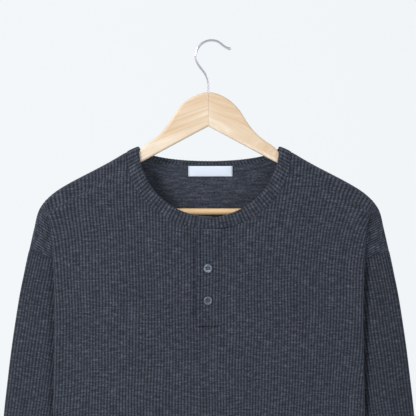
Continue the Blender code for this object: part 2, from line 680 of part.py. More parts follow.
def make_arm(name, side):
    """A flat wooden arm, cut from its outline, with rounded edges."""
    outline = bpy.data.curves.new(name, "CURVE")
    outline.dimensions = "2D"
    outline.fill_mode = "BOTH"
    outline.extrude = ARM_THICKNESS / 2 * MM
    points = arm_outline()
    spline = outline.splines.new("POLY")
    spline.points.add(len(points) - 1)
    for point, (x, z) in zip(spline.points, points):
        point.co = ((HANGER_X + side * x) * MM, z * MM, 0, 1)
    spline.use_cyclic_u = True
    flat = bpy.data.objects.new(name + "_outline", outline)
    PARTS.objects.link(flat)
    flat.rotation_euler = (math.pi / 2, 0, 0)
    bpy.context.view_layer.update()
    mesh = bpy.data.meshes.new_from_object(flat.evaluated_get(bpy.context.evaluated_depsgraph_get()))
    solid = bmesh.new()
    solid.from_mesh(mesh)
    bmesh.ops.remove_doubles(solid, verts=solid.verts, dist=0.00001)
    bmesh.ops.recalc_face_normals(solid, faces=solid.faces)
    solid.to_mesh(mesh)
    solid.free()
    arm = add_piece(name, mesh, "wood")
    arm.matrix_world = flat.matrix_world
    bpy.data.objects.remove(flat, do_unlink=True)
    rounding = arm.modifiers.new("rounding", "BEVEL")
    rounding.width = ARM_ROUNDING * MM
    rounding.segments = 3
    rounding.limit_method = "ANGLE"
    rounding.angle_limit = math.radians(70)
    rounding.use_clamp_overlap = False
    return arm


def make_bar():
    """The round trouser bar between the arms' ends."""
    length = 2 * (ARM_HALF - END_BLOCK - GAP)
    bar = bmesh.new()
    bmesh.ops.create_cone(bar, cap_ends=True, segments=16, radius1=BAR_RADIUS * MM,
                          radius2=BAR_RADIUS * MM, depth=length * MM)
    mesh = bpy.data.meshes.new("hanger_bar")
    bar.to_mesh(mesh)
    bar.free()
    mesh.shade_smooth()
    mesh.set_sharp_from_angle(angle=math.radians(40))
    piece = add_piece("hanger_bar", mesh, "wood")
    piece.location = (HANGER_X * MM, 0, BAR_Z * MM)
    piece.rotation_euler = (0, math.pi / 2, 0)
    return piece


def make_hook():
    """The steel wire hook, from the top of the arms round to its tip."""
    route = [(HANGER_X + x, z) for x, z in HOOK_SHANK]
    route += arc(HOOK_CENTRE, HOOK_RADIUS, HOOK_ARC[0], HOOK_ARC[1], HOOK_ARC_STEPS)
    route += list(HOOK_TIP)
    wire = bpy.data.curves.new("hanger_hook", "CURVE")
    wire.dimensions = "3D"
    wire.bevel_depth = WIRE_RADIUS * MM
    wire.bevel_resolution = 2
    wire.use_fill_caps = True
    spline = wire.splines.new("POLY")
    spline.points.add(len(route) - 1)
    for point, (x, z) in zip(spline.points, route):
        point.co = (x * MM, 0, z * MM, 1)
    return add_piece("hanger_hook", wire, "steel")


def build():
    make_panel("front", True)
    make_panel("back", False)
    make_sleeve("sleeve_left", 1.0)
    make_sleeve("sleeve_right", -1.0)
    make_band()
    make_placket()
    make_label()
    for name, height in BUTTON_HEIGHTS.items():
        make_button(name, height)
    make_arm("hanger_arm_left", 1.0)
    make_arm("hanger_arm_right", -1.0)
    make_bar()
    make_hook()


for old in list(bpy.data.objects):
    bpy.data.objects.remove(old, do_unlink=True)
PARTS = bpy.data.collections.new("henley_shirt")
bpy.context.scene.collection.children.link(PARTS)
CUTTERS = bpy.data.collections.new("cutters")
bpy.context.scene.collection.children.link(CUTTERS)
MATERIALS = {}
for material_name, (red, green, blue, rough, metal) in COLOURS.items():
    made = bpy.data.materials.new(material_name)
    made.use_nodes = True
    shader = made.node_tree.nodes["Principled BSDF"]
    shader.inputs["Base Color"].default_value = (red, green, blue, 1.0)
    shader.inputs["Roughness"].default_value = rough
    shader.inputs["Metallic"].default_value = metal
    MATERIALS[material_name] = made
build()
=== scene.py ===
"""Looks of a ribbed cotton henley shirt, hanging on its flat wooden hanger.

Sizes are in millimetres and are turned to metres where a mesh is made. X runs across the
shirt, Z is up and -Y is the front. The origin is the inside of the hook, where it hangs.
"""
import math
from functools import partial

import bmesh
import bpy
import numpy as np
from mathutils import Matrix, Vector
from mathutils.geometry import tessellate_polygon


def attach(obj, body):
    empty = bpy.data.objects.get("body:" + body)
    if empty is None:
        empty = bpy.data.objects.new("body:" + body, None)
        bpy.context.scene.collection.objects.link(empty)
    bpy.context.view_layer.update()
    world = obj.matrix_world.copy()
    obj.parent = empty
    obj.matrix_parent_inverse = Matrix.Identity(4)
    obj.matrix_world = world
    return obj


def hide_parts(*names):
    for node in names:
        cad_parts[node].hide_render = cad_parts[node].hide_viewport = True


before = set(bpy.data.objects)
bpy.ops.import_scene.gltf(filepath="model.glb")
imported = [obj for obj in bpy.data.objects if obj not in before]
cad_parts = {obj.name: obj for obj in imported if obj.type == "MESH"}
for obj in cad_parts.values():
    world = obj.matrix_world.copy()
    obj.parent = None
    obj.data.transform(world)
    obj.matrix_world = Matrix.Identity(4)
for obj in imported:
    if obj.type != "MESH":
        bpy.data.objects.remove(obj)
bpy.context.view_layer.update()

bl_info = {
    "name": "Ribbed Henley Shirt",
    "version": (1, 0, 0),
    "blender": (4, 5, 0),
    "location": "3D View > Sidebar > Henley",
    "description": "Builds a ribbed henley shirt on its wooden hanger, piece by piece",
    "category": "Add Mesh",
}

MM = 0.001
BODY = "root"
CENTRE = -3.9              # centre line of the shirt
WALL = 1.8                 # knit thickness without its ribs
COLUMNS_A_RIB = 4
SIDES = (("left", 1.0), ("right", -1.0))
CLOTH_ATTRIBUTES = {       # place across the knit, share of the ribs' height, outward, inner face
    "across": "FLOAT", "relief": "FLOAT", "outward": "FLOAT_VECTOR", "inside": "BOOLEAN"}

# Sewing
HEM_LINES = (20.0, 26.0)   # twin stitching above the hem
CUFF_LINES = (18.0, 24.0)
STITCH_DEPTH = 0.35        # how far twin stitching draws the cloth in
HEM_TURN = 28.0            # where the turned-up hem ends inside
CUFF_TURN = 26.0
TURNED_EDGE = 0.35         # how much thicker the cloth is there

# Rows of a grid, in mm from an edge: close where it is rounded off or stitched
CUT_ROWS = (0, 0.2, 0.5, 0.9, 1.6)
HEM_ROWS = np.array([31, 28, 26, 24, 22, 20, 18, 14, 9, 4, 1.6, 0.8, 0.35, 0.0])
CUFF_ROWS = np.array([30, 27, 24, 22.5, 21, 19.5, 18, 16.5, 13, 8, 4, 1.6, 0.8, 0.35, 0])
PANEL_LENGTH = 560.0       # about how long the cloth is below the shoulder, for its rows
STRIP_LENGTH = 130.0
UPPER_SLEEVE_LENGTH = 225.0

# Shape of the shirt
NECK_HALF = 115.0
NECK_FRONT_Z = -262.0
NECK_BACK_Z = -184.3
HEM_Z = -850.0
HEM_ROW_SCALE = 0.99       # how much of a column's length is height, below the shoulder
SHOULDER_RADIUS = 8.0      # the cloth's bend over the hanger's arm
FOLD_COLUMN = 215.0        # column on the side fold, across the cut panel
PANEL_HALF = 295.0         # half the cut panel
FOLD_RADIUS = 2.0
FOLD_TURN = 5.375          # cloth on each side of the fold column that turns round it
LEAN_FROM = 140.0          # columns from here to the fold fan out over the hanger's end
LEAN = ((0.0, 13.0), (13.0, 11.4), (26.5, 9.0), (33.0, 7.8))   # down the cloth, shift outwards
SEAM_SEPARATION = 3.4
CREASE_SEPARATION = 6.0
CREASE_CLOSES = 60.0
SHOULDER_END = (251.0, -293.0)
SEAM_BEHIND_FOLD = (180.0, -315.0)
UNDERARM_Z = -498.0
SIDE_SEAM_DEPTH = 1.1
SEAM_CLOSES = 80.0
CREASE_LEVELS = (-245.0, -495.0)
CAP_TURN = 23.0            # how far the ribs turn down along the shoulder's cap
GAP = 0.3

# Tables: one row for each height or place
RIDGE = (  # across, height: the shoulder line
    (75.0, -134.5), (88.0, -142.2), (100.0, -148.9), (118.0, -157.4), (129.0, -163.9),
    (140.0, -170.2), (151.0, -176.2), (162.0, -181.9), (173.0, -187.6), (185.0, -193.8),
    (196.0, -199.8), (207.0, -206.3), (214.0, -211.0), (221.0, -216.6), (228.0, -223.2))
OUTLINE = (  # height, across: shoulder end, then the sleeve's outer edge
    (-223.4, 228.0), (-228.4, 232.1), (-234.0, 235.8), (-240.0, 238.5), (-247.0, 240.6),
    (-256.0, 242.5), (-268.0, 245.3), (-293.0, 251.0), (-360.0, 265.0),
    (-432.0, 275.5), (-524.0, 286.0), (-690.0, 296.5), (-850.0, 304.5))
FOLD_LINE = (  # height, across: the fold that edges the body
    (-238.0, 223.6), (-250.0, 220.8), (-268.0, 217.8), (-300.0, 215.6), (-524.0, 215.2),
    (-700.0, 222.0), (-850.0, 231.0))
FOLD_DEPTH = (  # height, half depth of the body at its side folds, just over the sleeves
    (-246.0, 10.0), (-293.0, 12.3), (-400.0, 15.6), (-530.0, 18.8), (-700.0, 22.3), (-850.0, 23.3))
INNER_EDGE = (  # height, across: armhole seam behind the fold, then the side seam
    (-315.0, 180.0), (-380.0, 165.0), (-440.0, 156.0), (-498.0, 150.0), (-620.0, 154.0),
    (-850.0, 178.0))
BODY_DEPTH = (  # below the shoulder, half depth of the body
    (8.0, 8.0), (21.0, 9.2), (29.0, 12.4), (42.0, 14.2), (80.0, 16.0), (140.0, 18.4), (200.0, 20.2),
    (300.0, 23.0), (420.0, 27.0), (560.0, 33.0), (700.0, 38.0))
SLEEVE_DEPTH = (  # height, half depth of the sleeve
    (-293.0, 5.5), (-400.0, 8.8), (-530.0, 12.0), (-700.0, 15.5), (-830.0, 16.5))
ARMHOLE_DEPTH = (  # height, half depth where the sleeve is sewn on
    (-315.0, 4.2), (-400.0, 3.2), (-498.0, 2.2))
UPPER_LENGTHS = (0.0, 6.3, 12.57, 18.0, 22.5, 26.5, 33.0, 43.0)  # down the cloth, at each level
FOLD_LEVEL = 5             # the level at the top of the side fold
LOWER_SHARES = (0.0, 0.12, 0.30, 0.50, 0.75, 1.0)
LEVEL_NUMBERS = tuple(range(len(UPPER_LENGTHS)))
LOWER_LEVELS = tuple(range(len(UPPER_LENGTHS) - 1, len(UPPER_LENGTHS) + len(LOWER_SHARES) - 1))

# Sleeve
SLEEVE_RING_Z = -530.0
CUFF_Z = -830.0
SLEEVE_LEAN = 0.152
SLEEVE_INNER = ((-530.0, 170.0), (-690.0, 184.0), (-830.0, 197.0))
SLEEVE_INSET = 6.0
SLEEVE_EDGE_SHARE = 1 / 22  # width of the strip that closes the sleeve at its inner edge
SLEEVE_RISE_AT_SEAM = 1.25
SLEEVE_RISE = 0.7

# Placket, band and label
BAND_WIDTH = 17.0
NECK_GAP = 0.2
BAND_LIFT = 3.2            # upper end of the band over the lower end
PLACKET_LEFT = -17.5
PLACKET_RIGHT = 19.5
PLACKET_BOTTOM = -395.4
PLACKET_WALL = 1.5
NOTCH_INSET = 3.0
NOTCH_BOTTOM = -392.0
NOTCH_CLOSE = 3.0          # cloth below the placket's cut in which the panel's rows close up
NOTCH_EDGES = np.array([PLACKET_LEFT + NOTCH_INSET, PLACKET_RIGHT - NOTCH_INSET])
SEWN_WIDTH = 9.0           # over which the upper strip's sewn side thins out
STRIP_LINES = (  # height, depth of the groove, from, to
    (-388.6, 0.5, -16.6, 10.5), (-393.2, 0.5, -16.6, 10.5), (-260.4, 0.4, -7.5, 18.6),
    (-263.2, 0.4, -7.5, 18.6))
BAND_LOWER_END = 6.6
BAND_SAG = 1.3             # how far the upper end hangs below the lower end
BAND_LAP_SPARE = 2.0       # degrees
BAND_LIFT_ENDS = 26.0      # degrees
BAND_SECTION = (  # from the seam, height over the middle, share of the ribs' height
    (-0.5, -0.1, 0.0), (-0.1, 0.75, 0.3), (0.8, 1.1, 0.75), (2.6, 1.4, 1.0), (5.2, 1.6, 1.0),
    (8.0, 1.7, 1.0), (10.8, 1.65, 1.0), (13.4, 1.5, 1.0), (15.2, 1.25, 1.0), (16.4, 0.8, 0.9),
    (17.0, 0.0, 0.8), (16.5, -0.8, 0.6), (15.2, -1.15, 0.55), (9.8, -1.2, 0.5), (6.5, -1.1, 0.1),
    (2.5, -0.95, 0.1), (0.2, -0.75, 0.0))
BAND_TAPE_ROW = 13         # from this row of the section on, the inner face is plain neck tape
BUTTON_X = -1.4
BUTTON_HEIGHTS = (-316.6, -361.0)
BUTTON_PALE_FROM_WITH_SHADE = (0.42, 0.62)     # where each button's swirl starts to turn pale; later on the lower button, whose colour is darkened as painted shade
BUTTON_SIDES = 64
BUTTON_PROFILE = (  # from the axis as a share of the radius, height
    (0.0, 0.95), (0.25, 0.92), (0.44, 0.98), (0.53, 1.3), (0.60, 1.95), (0.68, 2.42), (0.78, 2.6),
    (0.86, 2.46), (0.93, 2.2), (0.98, 1.75), (1.0, 1.3), (0.97, 0.85), (0.88, 0.35), (0.8, 0.0),
    (0.0, 0.0))
HOLE_OFFSET = 1.35
HOLE_RADIUS = 1.0
THREAD_ARCH = (  # height and depth along a bar of thread through two holes
    (-1.35, 1.2), (-1.3, -1.1), (-0.9, -1.4), (0.0, -1.5), (0.9, -1.4), (1.3, -1.1), (1.35, 1.2))
HIDDEN_BUTTON = (-0.2, -270.6)      # a flat button under the strip, which shows as a soft ring
LABEL_HALF = 31.0
LABEL_X = 2.1
LABEL_TOP = -174.0
LABEL_BOTTOM = -188.6
LABEL_WIDTH = 14.6
LABEL_STAND = 2.1          # off the middle of the cloth behind it

# Hanger, measured from its joint
HANGER_X = -4.8
ARM_THICKNESS = 12.0
ARM_ROUNDING = 3.2
ARM_HALF = 210.0
ARM_LOWER_START = -118.9
ARM_LOWER_SLOPE = 0.533
ARM_UNDER_CLOTH = 3.5
ARM_TOP = (  # across, height
    (0.0, -71.2), (8.0, -72.0), (15.4, -74.4), (23.4, -78.4), (31.0, -83.4), (38.8, -90.6),
    (45.6, -99.0), (51.2, -107.8), (56.8, -116.4), (63.4, -124.8), (71.6, -133.0), (80.6, -139.8),
    (89.6, -146.0), (96.6, -152.2), (104.0, -159.0), (112.0, -167.6), (122.0, -171.0))
ARM_TOP_UNDER_CLOTH = (140.0, 160.0, 185.0, 199.0)
ARM_BOARDS = {             # place in the grain, curve of the growth lines and where they turn
    1: (0.31, 3.4, 0.085), -1: (0.77, 0.5, 0.2)}
END_BLOCK = 18.0
END_BOTTOM = -250.0
END_ROUNDING = 7.0
BAR_Z = -238.5
BAR_RADIUS = 4.8
HOOK_RADIUS = 22.0
HOOK_CENTRE = (-0.4, -20.3)
HOOK_ARC = (208.0, 69.0)
HOOK_SHANK = ((0.0, -72.3), (0.0, -66.0), (0.0, -58.0), (-1.3, -52.0))
HOOK_TIP = ((19.3, -8.0), (23.2, -9.7), (27.0, -10.5))
HOOK_TIP_SHARES = (1.1, 1.28, 1.32, 1.12, 0.55, 0.1)     # of the wire's radius, at its tip

# Stage, in metres
FLOOR_RADIUS = 1.8
FLOOR_HEIGHT = -1.05
VIEW_CENTRE = (-0.0053, -0.2331)    # across, height
LIT_HEIGHT = -0.33                  # of the point on the Z axis that the lamps face
LAMPS = (  # name, place, width
    ("key", (-1.7, -1.5, 0.75), 0.75), ("fill", (1.5, -1.6, 0.3), 1.5),
    ("back", (1.5, 1.8, 0.5), 1.2))

# The ribs spread towards the shoulders and draw in below: height, share added to their place
RIB_SPREAD = {
    1: ((-120, -0.180), (-174, -0.146), (-211, -0.107), (-247, -0.062), (-265, -0.041),
        (-283, -0.0255), (-302, -0.0135), (-320, -0.0055), (-356, 0.0), (-393, 0.0027),
        (-411, 0.008), (-429, 0.0154), (-465, 0.0354), (-524, 0.062), (-620, 0.085), (-850, 0.09)),
    -1: ((-120, -0.040), (-211, -0.0364), (-247, -0.0273), (-283, -0.0146), (-320, -0.0055),
         (-356, 0.0), (-393, 0.0027), (-429, 0.0036), (-524, 0.0), (-850, 0.0)),
}

# Soft folds in the cloth: across and height of both ends, half width, depth (+ is sunk)
FRONT_FOLDS = (
    (-176, -392, -136, -346, 9, 1.1), (-150, -402, -120, -372, 8, -0.7),
    (-196, -300, -176, -470, 12, 1.0), (196, -300, 180, -470, 12, 1.0),
    (-100, -200, -84, -300, 16, 0.7), (104, -200, 88, -320, 16, 0.7),
    (-60, -410, -70, -640, 26, 1.6), (64, -420, 76, -660, 28, 1.6),
    (-150, -520, -160, -880, 30, 5.0), (-104, -580, -110, -880, 26, -3.8),
    (-40, -600, -44, -880, 32, 4.6), (18, -590, 20, -880, 24, -3.4),
    (70, -570, 74, -880, 28, 4.8), (122, -550, 128, -880, 26, -3.6),
    (170, -540, 182, -880, 26, 4.4), (-17.6, -270, -17.6, -394, 4.6, 1.8),
    (-22, -402, -30, -440, 9, 1.0))
BACK_FOLDS = (
    (0, -215, 0, -420, 30, 1.6), (-120, -215, -96, -420, 20, 1.3), (118, -215, 96, -430, 20, 1.3),
    (-190, -290, -172, -470, 14, 1.5), (190, -290, 172, -480, 14, 1.5),
    (-60, -450, -64, -880, 32, 5.4), (-8, -500, -10, -880, 26, -4.0), (52, -460, 58, -880, 30, 5.0),
    (-116, -520, -122, -880, 28, -4.0), (110, -520, 118, -880, 28, -4.0),
    (-168, -500, -180, -880, 28, 4.8), (166, -520, 180, -880, 28, 4.6))
BEHIND_FOLD_DEPTH = {1: 5.0, -1: 2.0}
BEHIND_FOLD = (            # the sleeve sinks behind the body's fold, as shares of that depth
    (218, -262, 216, -520, 4.4, 1.0), (216, -520, 231, -850, 4.4, 1.0))
SLEEVE_FOLDS = (
    (236, -345, 262, -392, 8, 1.0), (226, -440, 262, -478, 10, 1.3),
    (206, -560, 262, -590, 12, 2.2), (236, -620, 272, -606, 12, -1.6),
    (214, -660, 276, -700, 14, 2.0), (232, -700, 238, -830, 14, 1.6),
    (262, -500, 270, -640, 12, -1.2), (216, -740, 282, -768, 12, 1.4),
    (252, -770, 258, -830, 12, -1.2))


# ---------------------------------------------------------------- sizes and colours

def size(name, text, default):
    return bpy.props.FloatProperty(name=name, description=text, default=default, min=0.0,
                                   unit="LENGTH", precision=5)


def watts(name, text, default):
    return bpy.props.FloatProperty(name=name, description=text + ", in watts", default=default,
                                   min=0.0)


def colour(name, text, default):
    return bpy.props.StringProperty(name=name, description=text + ", as an sRGB hex value",
                                    default=default)


class HenleyKnit(bpy.types.PropertyGroup):
    """Sizes and colours of the rib knit"""
    rib_pitch: size("Rib pitch", "Distance from one rib to the next", 4.2 * MM)
    rib_height: size("Rib height", "How far a rib stands above its groove", 0.7 * MM)
    unevenness: size("Unevenness", "Small waver of the ribs' height", 0.14 * MM)
    band_rib_pitch: size("Band rib pitch", "Distance between the neckband's ribs", 5.0 * MM)
    band_rib_height: size("Band rib height", "Height of the neckband's ribs", 0.6 * MM)
    stitch_pitch: size("Stitch length", "Length of one sewn stitch", 2.9 * MM)
    thread: size("Thread", "Thickness of the sewing thread", 0.45 * MM)
    dark: colour("Dark yarn", "Darkest yarn in the marl", "#1f2229")
    middle: colour("Middle yarn", "Main yarn of the marl", "#393d47")
    light: colour("Light yarn", "Palest fibres of the marl", "#5f6572")


class HenleyTrim(bpy.types.PropertyGroup):
    """Sizes and colours of the buttons, label and thread"""
    button_radius: size("Button radius", "Half the width of a button", 6.0 * MM)
    button: colour("Button", "Middle grey of the button", "#4e5661")
    button_light: colour("Button light", "Paler swirl in the button", "#8a94a2")
    label: colour("Label", "Bare woven label", "#d1d8e4")
    thread: colour("Thread", "Sewing thread", "#4f545f")


class HenleyHanger(bpy.types.PropertyGroup):
    """Sizes and colours of the hanger"""
    wire_radius: size("Wire radius", "Half the thickness of the hook's wire", 1.7 * MM)
    wood_light: colour("Pale wood", "Spring wood of the arms", "#e0d1bd")
    wood_dark: colour("Dark wood", "Summer wood of the arms", "#c9ab89")
    bar_light: colour("Bar, pale", "Spring wood of the bar", "#e3c399")
    bar_dark: colour("Bar, dark", "Summer wood of the bar", "#c59a66")
    steel: colour("Steel", "Bright plated wire", "#d6d4db")


class HenleyStage(bpy.types.PropertyGroup):
    """Light, floor and camera"""
    backdrop: colour("Backdrop", "Pale studio all round", "#f2f6f9")
    floor: colour("Floor", "Pale floor", "#e6e8ea")
    key_power: watts("Key light", "Main light", 48.5)
    fill_power: watts("Fill light", "Light from the right", 11.0)
    back_power: watts("Back light", "Light from behind", 9.0)
    distance: size("Camera distance", "Camera to the middle of the shirt", 1.8)
    view_width: size("View width", "Width of the picture at the shirt", 0.5824)


# ---------------------------------------------------------------- node and mesh tools

def linear(hex_colour):
    """An sRGB hex value as linear red, green, blue and alpha."""
    parts = [int(hex_colour[i:i + 2], 16) / 255 for i in (1, 3, 5)]
    parts = [c / 12.92 if c <= 0.04045 else ((c + 0.055) / 1.055) ** 2.4 for c in parts]
    return (*parts, 1.0)


def feed(tree, node, values):
    """Gives a node's inputs numbers or other nodes' outputs."""
    for key, value in values.items():
        if isinstance(value, bpy.types.NodeSocket):
            tree.links.new(value, node.inputs[key])
        else:
            node.inputs[key].default_value = value


def add_node(tree, kind, *values, output=0, stops=(), **settings):
    """Adds a node with its settings and links, and gives back one of its outputs.

    values are its inputs in their order, or a table of them by name. stops are a ramp's places
    and colours.
    """
    node = tree.nodes.new(kind)
    for key, value in settings.items():
        setattr(node, key, value)
    named = values and isinstance(values[0], dict)
    feed(tree, node, values[0] if named else dict(enumerate(values)))
    for _ in stops[2:]:
        node.color_ramp.elements.new(0.5)
    for index, (place, hex_colour) in enumerate(stops):
        node.color_ramp.elements[index].position = place
        node.color_ramp.elements[index].color = linear(hex_colour)
    return node.outputs[output] if node.outputs else None


def tree_inputs(tree, defaults):
    """A geometry tree's named inputs and its output; an input without a number is a material."""
    add = tree.interface.new_socket
    add("Geometry", in_out="INPUT", socket_type="NodeSocketGeometry")
    for name, default in defaults.items():
        if default is None:
            add(name, in_out="INPUT", socket_type="NodeSocketMaterial")
        else:
            add(name, in_out="INPUT", socket_type="NodeSocketFloat").default_value = default
    add("Geometry", in_out="OUTPUT", socket_type="NodeSocketGeometry")
    return add_node(tree, "NodeGroupInput").node.outputs


def apply_tree(piece, tree, values):
    """Runs a geometry tree on a piece and keeps the result as its plain mesh."""
    modifier = piece.modifiers.new("shape", "NODES")
    modifier.node_group = tree
    for item in tree.interface.items_tree:
        if item.in_out == "INPUT" and item.name in values:
            modifier[item.identifier] = values[item.name]
    return keep_result(piece)


def keep_result(piece):
    """Makes what the modifiers show the piece's own mesh, and removes them."""
    bpy.context.view_layer.update()
    graph = bpy.context.evaluated_depsgraph_get()
    mesh = bpy.data.meshes.new_from_object(
        piece.evaluated_get(graph), preserve_all_data_layers=True, depsgraph=graph)
    mesh.name = piece.name
    piece.modifiers.clear()
    piece.data = mesh
    return piece


def new_piece(name, data):
    piece = bpy.data.objects.new(name, data)
    bpy.context.scene.collection.objects.link(piece)
    return piece


def dress(piece, finish):
    piece.data.materials.clear()
    piece.data.materials.append(finish)
    return piece


def settle(piece, slot, *nodes):
    """The piece rides on the shirt's body and stands for CAD nodes; slot is not used."""
    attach(piece, BODY)
    if nodes:
        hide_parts(*nodes)
    return piece


def read_table(table, place):
    """Smooth reading of a two-column table, held at its ends."""
    rows = sorted(table)
    keys = np.array([row[0] for row in rows])
    values = np.array([row[1] for row in rows])
    slopes = np.gradient(values, keys)
    place = np.clip(place, keys[0], keys[-1])
    index = np.clip(np.searchsorted(keys, place) - 1, 0, len(keys) - 2)
    width = keys[index + 1] - keys[index]
    t = (place - keys[index]) / width
    return ((1 + 2 * t) * (1 - t) ** 2 * values[index] + t * (1 - t) ** 2 * width * slopes[index]
            + t * t * (3 - 2 * t) * values[index + 1] + t * t * (t - 1) * width * slopes[index + 1])


def mix(a, b, share):
    return a + (b - a) * share


def ease(t):
    t = np.clip(t, 0.0, 1.0)
    return t * t * (3 - 2 * t)


def rounded(distance, radius=WALL / 2):
    """Share of the wall's thickness at a distance from its cut edge."""
    return np.sqrt(1 - (1 - np.clip(distance / radius, 0.06, 1.0)) ** 2)


# ---------------------------------------------------------------- cloth surfaces

def shoulder_line(x):
    """Height of the shoulder line."""
    return read_table(RIDGE, np.abs(x))


def drop(length):
    """Height lost along a column, from the shoulder line."""
    bend = SHOULDER_RADIUS * math.pi / 2
    turn = SHOULDER_RADIUS * (1 - np.cos(np.minimum(length, bend) / SHOULDER_RADIUS))
    return turn + np.maximum(length - bend, 0) * HEM_ROW_SCALE


def length_down(height):
    """The length down a column that loses this height, the reverse of drop."""
    height = np.maximum(height, 0.0)
    turn = SHOULDER_RADIUS * np.arccos(np.clip(1 - height / SHOULDER_RADIUS, 0.0, 1.0))
    below = (height - SHOULDER_RADIUS) / HEM_ROW_SCALE + SHOULDER_RADIUS * math.pi / 2
    return np.where(height < SHOULDER_RADIUS, turn, below)


def body_depth(length):
    """Half depth of the body at a length down the cloth."""
    bend = SHOULDER_RADIUS * math.pi / 2
    turn = SHOULDER_RADIUS * np.sin(np.minimum(length, bend) / SHOULDER_RADIUS)
    return np.where(length < bend, turn, read_table(BODY_DEPTH, drop(length)))


def neck_drop(x, low, inset=0.0):
    """Length from the shoulder line to the neck seam, whose lowest height is low."""
    half = NECK_HALF - inset
    shoulder = read_table(RIDGE, half)
    depth = shoulder - inset - low
    height = shoulder - depth * np.sqrt(np.clip(1 - (x / half) ** 2, 0.0, None))
    return length_down(shoulder_line(x) - height)


def in_notch(x):
    return (x > NOTCH_EDGES[0]) & (x < NOTCH_EDGES[1])


def column_top(x, front):
    """Length from the shoulder line to a column's upper edge: the neck or the placket's cut."""
    low = NECK_FRONT_Z if front else NECK_BACK_Z
    top = np.where(np.abs(x) < NECK_HALF, neck_drop(x, low), 0.0)
    if front:
        notch = length_down(shoulder_line(x) - NOTCH_BOTTOM)
        top = np.where(in_notch(x), notch, top)
    return top


def level_length(level, across, top):
    """Length down the cloth at a level, which runs from 0 at the top to 12 at the hem."""
    neck = neck_drop(np.minimum(across, NECK_HALF), NECK_FRONT_Z)
    notched = top > neck + NOTCH_INSET
    start = np.where(notched, neck, top)
    end = length_down(read_table(RIDGE, across) - HEM_Z)
    lower = mix(start + UPPER_LENGTHS[-1], end, np.interp(level, LOWER_LEVELS, LOWER_SHARES))
    upper = start + np.interp(level, LEVEL_NUMBERS, UPPER_LENGTHS)
    length = np.where(level <= LEVEL_NUMBERS[-1], upper, lower)
    # below the placket's cut the rows close up, so that further down all columns share their rows
    closed = top + (length - start) * NOTCH_CLOSE / (top - start + NOTCH_CLOSE)
    return np.where(notched & (length < top + NOTCH_CLOSE), closed, length)


def fold_radius(level):
    """Radius of the side fold, which opens below its upper end."""
    return FOLD_RADIUS * np.interp(level - FOLD_LEVEL, (0, 1, 2), (0, 0.55, 1))


def stack(x, y, z):
    return np.stack(np.broadcast_arrays(x, y, z), axis=-1)


def body_surface(across, level, top):
    """The part of a panel that faces out, between the two side folds."""
    length = level_length(level, across, top)
    fan = ease((across - LEAN_FROM) / (FOLD_COLUMN - LEAN_FROM)) ** 1.5
    x = across + fan * np.interp(length - top, *np.array(LEAN).T)
    z = read_table(RIDGE, x) - drop(length)
    flat = FOLD_COLUMN - FOLD_TURN
    edge = read_table(FOLD_LINE, z) - fold_radius(level)
    reach = mix(7.0, 1.0, ease((length - top - UPPER_LENGTHS[FOLD_LEVEL]) / 260))
    x = mix(x, across + (edge - flat) * (across / flat) ** reach, ease(level - FOLD_LEVEL))
    flatter = ease((across - 110) / 95) * ease((length - 22) / 40)
    depth = body_depth(length)
    depth = mix(depth, np.minimum(depth, read_table(FOLD_DEPTH, z)), flatter)
    return stack(x, depth, z)


def cap_share(across):
    return (across - FOLD_COLUMN) / (PANEL_HALF - FOLD_COLUMN)


def crease_line(across):
    """The hidden crease from the top of the side fold to the armhole seam."""
    share = np.maximum(cap_share(across), 0.0)
    start = body_surface(np.minimum(across, FOLD_COLUMN), float(FOLD_LEVEL), 0.0)
    x = mix(start[..., 0], SEAM_BEHIND_FOLD[0], share)
    z = mix(start[..., 2], SEAM_BEHIND_FOLD[1], share)
    sunk = read_table(ARMHOLE_DEPTH, z) + CREASE_SEPARATION / 2
    return stack(x, mix(start[..., 1], sunk, ease(share * 2.5)), z)


def sleeve_half_depth(x, z):
    """Half depth of the sleeve and of the shoulder's cap, at a place on the front view."""
    fold = read_table(FOLD_LINE, z)
    outer = read_table(OUTLINE, z)
    full = read_table(SLEEVE_DEPTH, z)
    outside = full * np.sqrt(np.clip(1 - ((x - fold) / (outer - fold)) ** 2, 0.0, None))
    inner = read_table(INNER_EDGE, z)
    share = np.clip((x - inner) / (fold - inner), 0.0, None)
    above = mix(read_table(ARMHOLE_DEPTH, z), full, share ** SLEEVE_RISE_AT_SEAM)
    blend = ease((UNDERARM_Z - z) / (UNDERARM_Z - SLEEVE_RING_Z))
    inner = mix(read_table(INNER_EDGE, UNDERARM_Z), read_table(SLEEVE_INNER, z), blend)
    share = np.clip((x - inner) / (fold - inner), 0.0, None)
    below = full * share ** mix(SLEEVE_RISE_AT_SEAM, SLEEVE_RISE, blend)
    return np.where(x >= fold, outside, np.where(z > UNDERARM_Z, above, below))


def cap_surface(across, level):
    """The shoulder's cap, which turns outwards over the end of the hanger."""
    share = np.maximum(cap_share(across), 0.0)
    length = np.interp(level, LEVEL_NUMBERS, UPPER_LENGTHS)
    down = drop(length) / drop(UPPER_LENGTHS[FOLD_LEVEL])
    ridge_z = mix(OUTLINE[0][0], SHOULDER_END[1], share)
    low = crease_line(across)
    x = mix(read_table(OUTLINE, ridge_z), low[..., 0], down)
    z = mix(ridge_z, low[..., 2], down)
    y = mix(body_depth(length), sleeve_half_depth(x, z), ease(share * 4))
    return stack(x, mix(y, low[..., 1], ease(level - FOLD_LEVEL + 1)), z)


